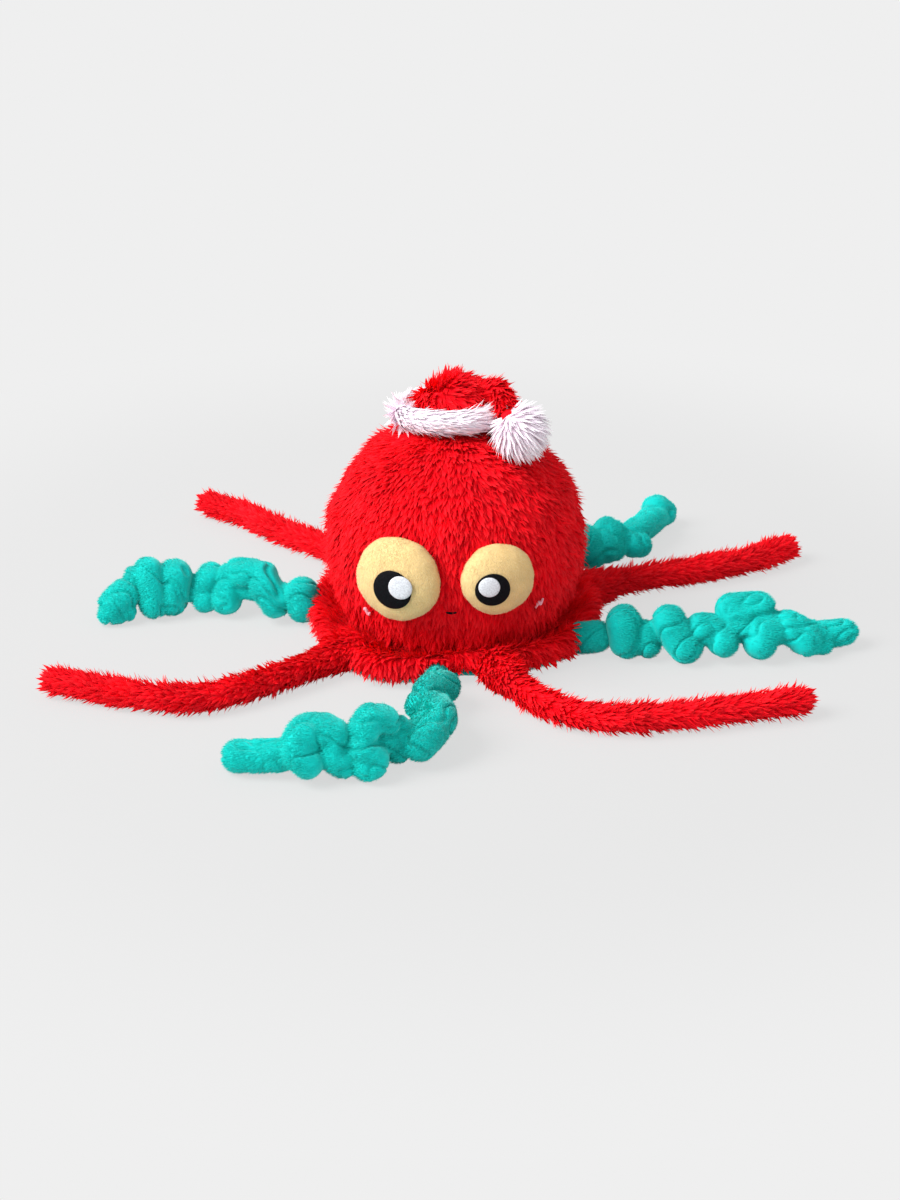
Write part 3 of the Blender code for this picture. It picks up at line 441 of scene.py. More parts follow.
def planting_tree():
    tree = bpy.data.node_groups.new("plant_tufts", "GeometryNodeTree")
    for way in ("INPUT", "OUTPUT"):
        tree.interface.new_socket("Geometry", in_out=way, socket_type="NodeSocketGeometry")
    for label, kind in PILE_INPUTS.items():
        tree.interface.new_socket(label, in_out="INPUT", socket_type="NodeSocket" + kind)
    given = add_node(tree, "NodeGroupInput").outputs
    spacing, seed = given["Spacing"], given["Seed"]
    grows = add_node(tree, "GeometryNodeInputNamedAttribute", {"Name": "pile"}, data_type="FLOAT")
    comb = add_node(tree, "GeometryNodeInputNamedAttribute", {"Name": "comb"}, data_type="FLOAT_VECTOR")
    nearest = add_node(tree, "ShaderNodeMath", {0: spacing, 1: NEAREST_SHARE}, operation="MULTIPLY")
    area = add_node(tree, "ShaderNodeMath", {0: spacing, 1: spacing}, operation="MULTIPLY")
    densest = add_node(tree, "ShaderNodeMath", {0: DENSITY_SHARE, 1: area}, operation="DIVIDE")
    spread = {"Mesh": given["Geometry"], "Distance Min": nearest, "Density Max": densest}
    spread.update({"Density Factor": grows.outputs["Attribute"], "Seed": seed})
    scatter = add_node(tree, "GeometryNodeDistributePointsOnFaces", spread, distribute_method="POISSON").outputs
    place = add_node(tree, "GeometryNodeInputPosition")
    fineness = add_node(tree, "ShaderNodeMath", {0: 1.0, 1: given["Swirl Size"]}, operation="DIVIDE")
    swirl = add_node(tree, "ShaderNodeTexNoise", {"Vector": place, "Scale": fineness, "Detail": 1.0})
    level = {0: swirl.outputs["Color"], 1: (0.5, 0.5, 0.5)}
    centred = add_node(tree, "ShaderNodeVectorMath", level, operation="SUBTRACT")
    ends = {0: (-1, -1, -1), 1: (1, 1, 1), "Seed": seed}
    straying = add_node(tree, "FunctionNodeRandomValue", ends, data_type="FLOAT_VECTOR")
    way = scatter["Normal"]
    for added, share in ((comb.outputs["Attribute"], "Lean"), (centred, "Swirl"), (straying, "Stray")):
        pushed = {0: added, 1: given[share], 2: way}
        way = add_node(tree, "ShaderNodeVectorMath", pushed, operation="MULTIPLY_ADD")
    stand = add_node(tree, "FunctionNodeAlignRotationToVector", {"Vector": way}, axis="Z")
    fall = add_node(tree, "ShaderNodeVectorMath", {0: scatter["Normal"], "Scale": -1.0}, operation="SCALE")
    facing_out = {"Rotation": stand, "Vector": fall}
    turn = add_node(tree, "FunctionNodeAlignRotationToVector", facing_out, axis="X", pivot_axis="Z")
    turn_span = {2: -TUFT_TURN, 3: TUFT_TURN, "Seed": seed}
    angle = add_node(tree, "FunctionNodeRandomValue", turn_span, data_type="FLOAT")
    spin_inputs = {"Axis": (0, 0, 1), "Angle": angle.outputs[1]}
    spin = add_node(tree, "FunctionNodeAxisAngleToRotation", spin_inputs)
    both_turns = {"Rotation": turn, "Rotate By": spin}
    spun = add_node(tree, "FunctionNodeRotateRotation", both_turns, rotation_space="LOCAL")
    span = {2: TUFT_SIZES[0], 3: TUFT_SIZES[1], "Seed": seed}
    sizes = add_node(tree, "FunctionNodeRandomValue", span, data_type="FLOAT")
    tall = add_node(tree, "ShaderNodeMath", {0: sizes.outputs[1], 1: given["Length"]}, operation="MULTIPLY")
    scale = add_node(tree, "ShaderNodeCombineXYZ", {"X": given["Width"], "Y": given["Width"], "Z": tall})
    shade = add_node(tree, "FunctionNodeRandomValue", {2: 0.0, 3: 1.0, "Seed": SHADE_SEED}, data_type="FLOAT")
    mark = {"Geometry": scatter["Points"], "Name": "tuft", "Value": shade.outputs[1]}
    marked = add_node(tree, "GeometryNodeStoreNamedAttribute", mark, data_type="FLOAT", domain="POINT")
    tuft = add_node(tree, "GeometryNodeObjectInfo", {"Object": given["Tuft"]}).outputs["Geometry"]
    planting = {"Points": marked, "Instance": tuft, "Rotation": spun, "Scale": scale}
    planted = add_node(tree, "GeometryNodeInstanceOnPoints", planting)
    # Tufts must not grow tufts when a second layer is planted
    bare = add_node(tree, "GeometryNodeRemoveAttribute", {"Geometry": planted, "Name": "pile"})
    real = add_node(tree, "GeometryNodeRealizeInstances", {"Geometry": bare})
    dressed = add_node(tree, "GeometryNodeSetMaterial", {"Geometry": real, "Material": given["Material"]})
    both = add_node(tree, "GeometryNodeJoinGeometry", {0: dressed})
    tree.links.new(given["Geometry"], both.inputs[0])
    add_node(tree, "NodeGroupOutput", {0: both})
    return tree


plant_tufts = planting_tree()
print("planting tree nodes", len(plant_tufts.nodes))

# %% [markdown]
# ## Layers of pile
#
# One kind of tuft at one size looks like a carpet. Real plush has locks that show from a distance and stray
# fibres between them that blur their edges, so plush gets two layers. The function below hangs a modifier for
# each layer on the skin, makes one plain mesh of it and presses whatever reaches the table flat on it.

# %% Grow layers of pile on a skin
# Each layer is a tuft, its spacing, length and width in mm, its lean along the comb and how far it strays
LAYER_INPUTS = ("Tuft", "Spacing", "Length", "Width", "Lean", "Stray")
LENGTH_INPUTS = ("Spacing", "Length", "Width", "Swirl Size")
PLUSH_LAYERS = ((plush_lock, 2.1, 8.0, 2.7, 2.6, 0.7), (plush_fibre, 1.9, 8.0, 1.0, 1.9, 0.9))
LAYER_SEEDS = 100


def grow(name, skin, grows, comb, finish, layers, seed, swirl=3.5, swirl_size=18.0):
    """Plants layers where pile grows, 0 to 1 at each point, combed one way. Skin and pile are one mesh."""
    density = np.broadcast_to(np.asarray(grows, np.float32), len(comb))
    skin.attributes.new("pile", "FLOAT", "POINT").data.foreach_set("value", density)
    combed = skin.attributes.new("comb", "FLOAT_VECTOR", "POINT")
    combed.data.foreach_set("vector", comb.astype(np.float32).ravel())
    obj = link(name, skin, finish)
    shared = {"Swirl": swirl, "Swirl Size": swirl_size, "Material": finish}
    for i, layer in enumerate(layers):
        values = {**dict(zip(LAYER_INPUTS, layer)), **shared, "Seed": seed + LAYER_SEEDS * i}
        modifier = obj.modifiers.new(plant_tufts.name, "NODES")
        modifier.node_group = plant_tufts
        for item in plant_tufts.interface.items_tree:
            if item.in_out == "INPUT" and item.name in values:
                value = values[item.name]
                modifier[item.identifier] = value * MM if item.name in LENGTH_INPUTS else value
    made_plain(obj)
    points = points_of(obj.data)
    points[:, 2] = np.maximum(points[:, 2], FLOOR_CLEARANCE)
    for spare in ("pile", "comb"):
        if spare in obj.data.attributes:
            obj.data.attributes.remove(obj.data.attributes[spare])
    set_points(obj.data, points)
    print(name, "triangles", sum(len(p.vertices) - 2 for p in obj.data.polygons))
    return obj

# %% [markdown]
# ## Head
#
# The head is a stuffed ball sewn from a face panel and two back panels. The stuffing makes it nearly a true
# sphere, and the seams only show as faint valleys where the pile parts, with one short dart above the right
# eye. Each panel's skin is cut from a sphere, thickened inwards and pushed in along its seams. The pile is
# combed down from the hat, and none grows under the eyes, the hat or the skirt.

# %% Directions on the head
EYES = {
    "left": {"radius": 25 * MM, "direction": (-24.5, 4.6), "pupil": 0.08, "glint": 0.29},
    "right": {"radius": 21 * MM, "direction": (17.9, 5.6), "pupil": -0.31, "glint": -0.42},
}
HAT_LEAN = 104.0
HAT_TILT = 6.0
TRIM_RING_RADIUS = 28 * MM
TRIM_ROLL_RADIUS = 7.5 * MM
TRIM_PRESS = 0.75
UP = np.array([0.0, 0.0, 1.0])


def facing(azimuth, elevation):
    """A direction from the head's centre: azimuth turns from the face towards +X, elevation upwards."""
    turn, lift = math.radians(azimuth), math.radians(elevation)
    return np.array([math.sin(turn) * math.cos(lift), -math.cos(turn) * math.cos(lift), math.sin(lift)])


def polar(azimuth):
    """A level direction, in degrees from +X, anticlockwise seen from above."""
    turn = math.radians(azimuth)
    return np.array([math.cos(turn), math.sin(turn), 0.0])


hat_up = polar(HAT_LEAN) * math.sin(math.radians(HAT_TILT)) + UP * math.cos(math.radians(HAT_TILT))
trim_reach = HEAD_RADIUS + TRIM_ROLL_RADIUS * TRIM_PRESS
trim_spread = math.asin(TRIM_RING_RADIUS / trim_reach)
print("trim's spread from the hat's axis in degrees", round(math.degrees(trim_spread), 1))

# %% Cut, thicken and plant the head's three panels
HEAD_SEGMENTS = 128
HEAD_RINGS = 80
SHELL_THICKNESS = 2 * MM
CUT_SNAP = 0.03 * MM
SEAM_DEPTH = 1.4 * MM
SEAM_SPREAD = 2.2 * MM
DART_AZIMUTH = 8.0
DART_ELEVATIONS = (52.0, 74.0)
BARE_UNDER_EYE = 0.93
BARE_UNDER_HAT = 0.94
FRONT, BACK, LEFT, RIGHT = (0, -1, 0), (0, 1, 0), (-1, 0, 0), (1, 0, 0)


def valley(distance):
    """How deep a seam draws the cloth in at a distance from it."""
    return SEAM_DEPTH * np.exp(-((distance / SEAM_SPREAD) ** 2))


def head_panel(name, node, sides, seed):
    """One panel: the part of the sphere on the inner side of each seam plane."""
    skin_radius = HEAD_RADIUS - PILE_HEIGHT
    bm = bmesh.new()
    bmesh.ops.create_uvsphere(bm, u_segments=HEAD_SEGMENTS, v_segments=HEAD_RINGS, radius=skin_radius)
    foot = Vector((0, 0, FLOOR_CLEARANCE - HEAD_CENTRE[2] + SHELL_THICKNESS))
    planes = [(foot, (0, 0, 1))] + [((0, 0, 0), side) for side in sides]
    for place, normal in planes:
        everything = bm.verts[:] + bm.edges[:] + bm.faces[:]
        cut = {"plane_co": place, "plane_no": normal, "clear_inner": True, "dist": CUT_SNAP}
        bmesh.ops.bisect_plane(bm, geom=everything, **cut)
    lining = bmesh.ops.extrude_face_region(bm, geom=bm.faces[:], use_keep_orig=True)
    inner = [v for v in lining["geom"] if isinstance(v, bmesh.types.BMVert)]
    share = (skin_radius - SHELL_THICKNESS) / skin_radius
    bmesh.ops.scale(bm, vec=Vector.Fill(3, share), verts=inner)
    skin = bpy.data.meshes.new(name)
    bm.to_mesh(skin)
    bm.free()
    skin = in_order(outwards(skin))
    points = points_of(skin)
    out = unit(points)
    grows = (np.linalg.norm(points, axis=1) > skin_radius - SHELL_THICKNESS / 2).astype(float)
    grows[points[:, 2] < CREASE_HEIGHT - PILE_HEIGHT - HEAD_CENTRE[2]] = 0
    for eye in EYES.values():
        grows[out @ facing(*eye["direction"]) > math.cos(BARE_UNDER_EYE * eye["radius"] / HEAD_RADIUS)] = 0
    grows[out @ hat_up > math.cos(BARE_UNDER_HAT * trim_spread)] = 0
    drawn_in = sum(valley(points @ np.array(side)) for side in sides)
    azimuths = np.degrees(np.arctan2(out[:, 0], -out[:, 1]))
    elevations = np.degrees(np.arcsin(np.clip(out[:, 2], -1, 1)))
    on_dart = (elevations > DART_ELEVATIONS[0]) & (elevations < DART_ELEVATIONS[1]) & (out[:, 1] < 0)
    from_dart = np.radians(azimuths - DART_AZIMUTH) * np.hypot(points[:, 0], points[:, 1])
    drawn_in = drawn_in + on_dart * valley(from_dart)
    set_points(skin, points + HEAD_CENTRE - out * drawn_in[:, None])
    comb = laid_along(-UP, out)
    tie(grow(name, skin, grows, comb, red_plush, PLUSH_LAYERS, seed), (node,), "red_plush")


head_panel("head_face_plush", "head_face_panel", [FRONT], 11)
head_panel("head_back_plush_left", "head_back_panel_left", [BACK, LEFT], 12)
head_panel("head_back_plush_right", "head_back_panel_right", [BACK, RIGHT], 13)

# %% [markdown]
# ## Skirt
#
# The skirt is a stuffed ring sewn round the foot of the head: plush above, velvet below, joined at the rim.
# The legs pull its rim in where they are sewn, so it swells between them in soft lobes. A turned profile
# gives the ring, and its rim radius changes round the toy by a small wave through the legs' places.

# %% Where the legs leave the rim, and how the rim swells between them
# Each leg: its azimuth, its reach in mm, and the places it passes as shares of the reach, onwards and aside.
# A velvet leg also has its tip's radius and length in mm
FUR_LEGS = {
    "fur_leg_front_left": (-138.0, 181, ((0.22, 0.0), (0.5, -0.05), (0.64, -0.21), (0.78, -0.46))),
    "fur_leg_front_right": (-72.0, 195, ((0.2, 0.04), (0.33, 0.15), (0.39, 0.35), (0.42, 0.75))),
    "fur_leg_back_right": (20.0, 146, ((0.2, 0.03), (0.45, 0.03), (0.7, 0.04), (0.96, 0.11))),
    "fur_leg_back_left": (130.0, 148, ((0.25, 0.02), (0.54, 0.06), (0.75, 0.07), (0.95, 0.13))),
}
VELVET_LEGS = {
    "velvet_leg_left": (176.0, 118, 10.5, 22, ((0.3, -0.05), (0.6, -0.09), (0.93, 0.01))),
    "velvet_leg_front": (-97.0, 172, 8.2, 33, ((0.33, 0.02), (0.53, -0.07), (0.61, -0.34), (0.64, -0.57))),
    "velvet_leg_right": (-27.0, 152, 7, 30, ((0.12, 0.05), (0.35, 0.14), (0.62, 0.3), (0.87, 0.5))),
    "velvet_leg_back": (50.0, 128, 7, 27, ((0.25, -0.1), (0.45, -0.17), (0.65, -0.14), (0.91, -0.05))),
}
# How far the rim stands out at an azimuth, in mm. It is drawn in where the front velvet leg pulls on it, and
# swells most into the web beside the front left leg
RIM_SWELL = (
    (-180, 0), (-160, 1), (-138, 6), (-118, 10), (-105, 3), (-87, -8), (-72, -4), (-55, -3),
    (-38, 0), (-20, -1), (20, 2), (50, 0), (90, 3), (130, 1), (155, 3), (180, 0),
)
SKIRT_STEPS = 180
LINE_STEPS = 12
PLUSH_HEM = -42.0
OUTWARD_COMB = 1.1


def rim_swell(azimuth):
    return np.interp(azimuth, [a for a, _ in RIM_SWELL], [mm * MM for _, mm in RIM_SWELL])


def arc(centre, radius, start, end, steps):
    """Points (across, height) of an arc, angles in degrees from outwards towards up."""
    turns = np.radians(np.linspace(start, end, steps + 1))
    return np.stack([centre[0] + radius * np.cos(turns), centre[1] + radius * np.sin(turns)], 1)


def turned(line, azimuth):
    return line[:, :1] * polar(azimuth) + line[:, 1:] * UP


def turned_rings(line_at):
    """Rings of a profile turned about Z, where the profile may change with the azimuth."""
    return np.array([turned(line_at(a), a) for a in np.linspace(-180, 180, SKIRT_STEPS, endpoint=False)])


def skirt_top(azimuth):
    """The plush's skin at an azimuth: level from the crease, over the rim's roll and a little under it."""
    centre = (rim_radius - RIM_ROLL + rim_swell(azimuth), RIM_ROLL)
    faces = []
    for depth in (PILE_HEIGHT, PILE_HEIGHT + SHELL_THICKNESS):
        level = CREASE_HEIGHT - depth
        roll = arc(centre, RIM_ROLL - depth, 90, PLUSH_HEM, LINE_STEPS)
        faces.append(np.vstack([[(crease_radius - RIM_ROLL, level), (crease_radius, level)], roll]))
    return np.vstack([faces[0], faces[1][::-1]])


def make_skirt():
    rings = turned_rings(skirt_top)
    skin = loft("skirt_plush", rings, loop=True)
    points = points_of(skin)
    outer = np.tile(np.arange(rings.shape[1]) < rings.shape[1] // 2, len(rings))
    away = unit(points * (1, 1, 0))
    falling = np.clip((np.hypot(points[:, 0], points[:, 1]) - rim_radius + RIM_ROLL) / RIM_ROLL, 0, 1)
    comb = laid_along(away * (OUTWARD_COMB - falling[:, None]) - UP * falling[:, None], normals_of(skin))
    top = grow("skirt_plush", skin, outer, comb, red_plush, PLUSH_LAYERS, 21)
    tie(top, ("skirt_top_panel",), "red_plush")


make_skirt()
print("rim swell beside the front left leg in mm", round(rim_swell(-117.0) / MM, 1))

# %% Lay the skirt's velvet base
NAP_HEIGHT = 0.9 * MM
BASE_FLARE = (0.2, 0.2, 0)
BASE_BARE = 0.5 * MM
NAP_LAYERS = ((nap_fibre, 0.82, 2.0, 0.7, 2.4, 0.4), (nap_fibre, 1.8, 1.8, 0.4, 1.0, 0.6))


def skirt_base(azimuth):
    """The velvet's skin at an azimuth: out along the floor, up round the rim, and back as its lining."""
    low = FLOOR_CLEARANCE + NAP_HEIGHT / 2
    rim = arc((rim_radius - RIM_ROLL, RIM_ROLL), RIM_ROLL - PILE_HEIGHT / 2, PLUSH_HEM, -90, LINE_STEPS)
    flat = [(crease_radius / 2, low), (crease_radius, low)]
    lid = [(rim_radius - RIM_ROLL - SHELL_THICKNESS, RIM_ROLL / 2)]
    lining = [(crease_radius, low + SHELL_THICKNESS), (crease_radius / 2, low + SHELL_THICKNESS)]
    line = np.array([*flat, *rim[::-1], *lid, *lining])
    line[:, 0] += rim_swell(azimuth) * np.array([0, 0, *np.linspace(0.5, 1, len(rim)), 0.5, 0, 0])
    return line


def make_skirt_base():
    skin = loft("skirt_base_velvet", np.swapaxes(turned_rings(skirt_base), 0, 1))
    points = points_of(skin)
    outside = np.hypot(points[:, 0], points[:, 1]) > rim_radius - RIM_ROLL + BASE_BARE
    comb = unit(np.where(outside[:, None], -UP + points * BASE_FLARE, UP))
    base = grow("skirt_base_velvet", skin, outside, comb, turquoise_velvet, NAP_LAYERS, 31)
    tie(base, ("skirt_base_panel",), "turquoise_velvet")


make_skirt_base()

# %% [markdown]
# ## Eyes and the rest of the face
#
# Each eye is a small stuffed cushion in yellow velboa, sewn down along its edge, so it is a flattened ball
# whose rim is a little uneven where the stitches pull. The pupil and its glint are filled with satin stitch on
# the real toy. Here each is one patch that follows the cushion's curve with a rounded edge, and its threads are
# only grain in the finish. The mouth and the two blush marks are single strokes that half sink into the plush.

# %% Make the eye cushions
EYE_PAD_HEIGHT = 13 * MM
EYE_NAP = 0.7 * MM
EYE_NAP_LAYERS = ((nap_fibre, 0.65, 1.0, 0.4, 1.6, 0.4),)
PAD_SQUASH = 0.96
PAD_SEGMENTS = 96
PAD_RINGS = 56
PAD_DOME_CENTRE = 10 * MM
# How far the stitches pull the pad's edge in and out, and how often round it
STITCH_PULLS = ((0.012, 5), (0.006, 13))
around_pad = np.linspace(0, math.tau, PAD_SEGMENTS, endpoint=False)


def on_head(direction):
    """A place on the head's surface, and its own level X, Y and outward Z as rows."""
    out = facing(*direction)
    across = unit(np.cross(UP, out))
    return HEAD_CENTRE + out * HEAD_RADIUS, np.stack([across, np.cross(out, across), out])


def make_eye_pad(side_name, eye, seed):
    spot, rows = on_head(eye["direction"])
    (wide_pull, wide_count), (fine_pull, fine_count) = STITCH_PULLS
    pull = 1 + wide_pull * np.sin(wide_count * around_pad + seed) + fine_pull * np.sin(fine_count * around_pad)
    wide, high = eye["radius"] - EYE_NAP, EYE_PAD_HEIGHT - EYE_NAP
    rings = spot + dome((2, 178), PAD_RINGS, PAD_SEGMENTS, wide, high, pull, PAD_SQUASH) @ rows
    # The cushion's under side rests on the head's cloth
    inward = rings - HEAD_CENTRE
    reach = np.linalg.norm(inward, axis=-1, keepdims=True)
    lowest = HEAD_RADIUS - PILE_HEIGHT - SHELL_THICKNESS / 2
    name = side_name + "_eye_cushion"
    skin = loft(name, HEAD_CENTRE + inward * np.maximum(1, lowest / reach))
    points = points_of(skin)
    grows = np.linalg.norm(points - HEAD_CENTRE, axis=1) > HEAD_RADIUS - PILE_HEIGHT
    out = unit(points - spot + rows[2] * PAD_DOME_CENTRE)
    comb = laid_along(-UP, out)
    pad = grow(name, skin, grows, comb, yellow_velboa, EYE_NAP_LAYERS, seed, swirl=0.8, swirl_size=9)
    tie(pad, (side_name + "_eye_pad",), "yellow_velboa")


for i, (side_name, eye) in enumerate(EYES.items()):
    make_eye_pad(side_name, eye, 41 + i)

# %% Lay the pupils and glints on the cushions
THREAD_HEIGHT = 0.8 * MM
PATCH_RINGS = 14
PATCH_FIRST_RING = 0.05
PATCH_EDGE_POWER = 6
# Each patch: its size and how far below the eye's centre it sits, as shares of the eye, and its thread
PATCHES = {
    "pupil": (0.445, 0.1, 0, black_thread, "black_thread"),
    "glint": (0.265, 0.0, THREAD_HEIGHT, white_thread, "white_thread"),
}


def make_patch(node, eye, side_share, size_share, drop_share, lift, finish, slot):
    """A round patch on the eye cushion, its upper face rounded off at the edge."""
    spot, rows = on_head(eye["direction"])
    radius = eye["radius"]
    out_shares = np.sin(np.linspace(PATCH_FIRST_RING, 1, PATCH_RINGS) * math.pi / 2)
    rings = []
    upper = [(s, (1 - s**PATCH_EDGE_POWER) ** 0.5) for s in out_shares]
    for share, thick in upper + [(s, 0) for s in out_shares[-2::-1]]:
        x = radius * size_share * share * np.cos(around_pad) + radius * side_share
        y = radius * size_share * share * np.sin(around_pad) - radius * drop_share
        z = EYE_PAD_HEIGHT * np.sqrt(1 - (x**2 + y**2) / radius**2) + lift + THREAD_HEIGHT * thick
        rings.append(spot + np.stack([x, y, z], -1) @ rows)
    name = node + "_stitching"
    tie(link(name, loft(name, np.array(rings)), finish), (node,), slot)


for side_name, eye in EYES.items():
    for part, settings in PATCHES.items():
        make_patch(side_name + "_" + part, eye, eye[part], *settings)

# %% Stitch the mouth and the blush marks
MOUTH_THREAD = 0.65 * MM
MOUTH_HALF_WIDTH = 2.9 * MM
MOUTH_SAG = 0.5 * MM
BLUSH_THREAD = 0.95 * MM
BLUSH_STROKE = 2.4 * MM
BLUSH_PITCH = 1.5 * MM
BLUSH_RISE = 0.6
STITCH_SIDES = 12
STITCH_LIFT = 0.2 * MM
STITCH_STEPS = 6
STITCH_END = 0.12
STITCH_TAPER = 0.35


def smooth_line(points, steps):
    """A Catmull-Rom curve through the points, as a dense line."""
    points = [np.asarray(p, float) for p in points]
    ends = [2 * points[0] - points[1], *points, 2 * points[-1] - points[-2]]
    found = []
    for a, b, c, d in zip(ends, ends[1:], ends[2:], ends[3:]):
        square = 2 * a - 5 * b + 4 * c - d
        cube = 3 * b - a - 3 * c + d
        found += [(2 * b + (c - a) * t + square * t**2 + cube * t**3) / 2 for t in np.arange(steps) / steps]
    return np.array([*found, points[-1]])


def tube_rings(places, headings, radii, sides, up=UP):
    """Rings round a line, each square to its heading."""
    turns = np.linspace(0, math.tau, sides, endpoint=False)[:, None]
    rings = []
    for place, heading, radius in zip(places, headings, radii):
        across = unit(np.cross(heading, up))
        over = np.cross(across, heading)
        rings.append(place + radius * (np.cos(turns) * across + np.sin(turns) * over))
    return np.array(rings)


def make_stroke(name, node, flat_points, direction, thickness, finish, slot):
    spot, rows = on_head(direction)
    flat = smooth_line([(x, y, 0) for x, y in flat_points], STITCH_STEPS)
    out = unit(spot + flat @ rows - HEAD_CENTRE)
    places = HEAD_CENTRE + out * (HEAD_RADIUS + STITCH_LIFT)
    headings = unit(np.gradient(places, axis=0))
    taper = np.sin(np.linspace(STITCH_END, math.pi - STITCH_END, len(places))) ** STITCH_TAPER
    rings = tube_rings(places, headings, thickness * taper, STITCH_SIDES, rows[2])
    tie(link(name, loft(name, rings), finish), (node,), slot)


smile = [(MOUTH_HALF_WIDTH * t, -MOUTH_SAG * (1 - t * t)) for t in (-1, -0.5, 0, 0.5, 1)]
make_stroke("mouth_stitching", "mouth_stitch", smile, (-1.7, -8.8), MOUTH_THREAD, black_thread, "black_thread")
blushes = (("left_blush_", (-42.5, -16.0), -BLUSH_RISE), ("right_blush_", (38.8, -10.5), BLUSH_RISE))
for start, direction, rise in blushes:
    steps = [(i - 1.5) * BLUSH_PITCH for i in range(4)]
    zigzag = [(x, x * rise + BLUSH_STROKE / 2 * (1 if i % 2 else -1)) for i, x in enumerate(steps)]
    thread = (BLUSH_THREAD, pink_thread, "pink_thread")
    make_stroke(start + "stitching", start + "mark", zigzag, direction, *thread)
print("face stitched")

# %% [markdown]
# ## Hat
#
# The hat is a stuffed plush dome with a roll of straight white fur round its hem, tipped six degrees back and
# aside. Its point leaves the dome at the right, folds over and ends in a pompom. The trim's strands are long
# and brushed along the roll, parted at the left of the front, which shows as fine lines. The dome's locks are
# longer than the head's and hang ragged over the trim.

# %% Hat frame and dome
CROWN_RADIUS = 26 * MM
CROWN_HEIGHT = 23 * MM
CROWN_SHEAR = polar(-15.0) * 0.22
CROWN_COMB = polar(-25.0)
CROWN_RINGS = 40
CROWN_SIDES = 72
HAT_LAYERS = ((plush_lock, 2.1, 7.6, 2.5, 2.0, 1.1), (plush_fibre, 1.9, 7.6, 1.0, 1.5, 0.9))
hat_across = unit(np.cross((0, 1, 0), hat_up))
hat_rows = np.stack([hat_across, np.cross(hat_up, hat_across), hat_up])
hat_origin = HEAD_CENTRE + hat_up * trim_reach * math.cos(trim_spread)


def in_hat(local):
    """Hat coordinates as places in the toy."""
    return hat_origin + np.asarray(local, float) @ hat_rows


def make_crown():
    wide, high = CROWN_RADIUS - PILE_HEIGHT, CROWN_HEIGHT - PILE_HEIGHT
    local = dome((2, 100), CROWN_RINGS, CROWN_SIDES, wide, high)
    skin = loft("hat_crown_plush", in_hat(local + local[..., 2:] * CROWN_SHEAR))
    grows = (points_of(skin) - hat_origin) @ hat_up > -1 * MM
    comb = laid_along(CROWN_COMB - hat_up, normals_of(skin))
    crown = grow("hat_crown_plush", skin, grows, comb, red_plush, HAT_LAYERS, 51, swirl=4, swirl_size=12)
    tie(crown, ("hat_crown",), "red_plush")


make_crown()

# %% Roll the trim
TRIM_SKIN_RADIUS = 5.6 * MM
TRIM_STEPS = 120
TRIM_SIDES = 20
TRIM_PARTS_AT = -164.0
TRIM_PARTING = 7.0
TRIM_LAYERS = ((fur_strand, 1.7, 9.0, 2.4, 5.5, 0.7), (fur_strand, 2.8, 8.5, 0.8, 3.0, 1.0))


def make_trim():
    loop = arc((TRIM_RING_RADIUS, 0), TRIM_SKIN_RADIUS, 0, 360 - 360 / TRIM_SIDES, TRIM_SIDES - 1)
    rings, combs = [], []
    for azimuth in np.linspace(0, 360, TRIM_STEPS, endpoint=False):
        rings.append(in_hat(turned(loop, azimuth)))
        # The fur parts at the left of the front: it runs to the right before the parting, to the back behind it
        brushed = np.clip(TRIM_PARTING * math.sin(math.radians(azimuth - TRIM_PARTS_AT)), -1, 1)
        combs.append(np.tile(polar(azimuth + 90) @ hat_rows * brushed, (len(loop), 1)))
    skin = loft("hat_trim_fur", np.array(rings), loop=True)
    comb = np.concatenate(combs)
    trim = grow("hat_trim_fur", skin, 1, comb, white_fur, TRIM_LAYERS, 61, swirl=0.5, swirl_size=16)
    tie(trim, ("hat_trim",), "white_fur")


make_trim()

# %% Fold the tail over and hang the pompom
POMPOM_RADIUS = 16.5 * MM
POMPOM_CORE = 11.6 * MM
POMPOM_ROOT = np.array([-6, -1, 8]) * MM
POMPOM_PRESS = 0.75
POMPOM_TOUCH = 0.947
POMPOM_AZIMUTH = -42.9
POMPOM_RINGS = 30
POMPOM_SIDES = 48
POMPOM_LAYERS = ((fur_strand, 1.6, 11.0, 2.0, 2.9, 0.4), (fur_strand, 2.6, 8.5, 0.7, 1.6, 0.5))
TAIL_CREST = np.array([30, -23, 4.5]) * MM
TAIL_RADII = (10 * MM, 7 * MM)
TAIL_BARE = 9 * MM
TAIL_PILE_SHARE = 0.8
TAIL_FOLD = np.array([0.95, -0.35, 0.45])
TAIL_SIDES = 36
TAIL_STEPS = 12
TAIL_LAYERS = ((plush_lock, 2.0, 7.6, 2.4, 2.1, 0.7), (plush_fibre, 1.8, 7.6, 1.0, 1.4, 0.8))


def pompom_place():
    """Where the pompom touches the head and the trim, from the triangle of their centres."""
    reach = HEAD_RADIUS + POMPOM_RADIUS * POMPOM_PRESS
    apart = (POMPOM_RADIUS + TRIM_ROLL_RADIUS) * POMPOM_TOUCH
    spread = trim_spread + math.acos((trim_reach**2 + reach**2 - apart**2) / (2 * trim_reach * reach))
    aside = polar(POMPOM_AZIMUTH) @ hat_rows
    return HEAD_CENTRE + (hat_up * math.cos(spread) + aside * math.sin(spread)) * reach


pompom_centre = pompom_place()
print("pompom centre in mm", np.round(pompom_centre / MM, 1))


def tip_comb(headings, sides):
    """A tube's comb: every ring's points along its heading, and the poles like the rings beside them."""
    return np.vstack([np.repeat(headings, sides, 0), headings[:1], headings[-1:]])


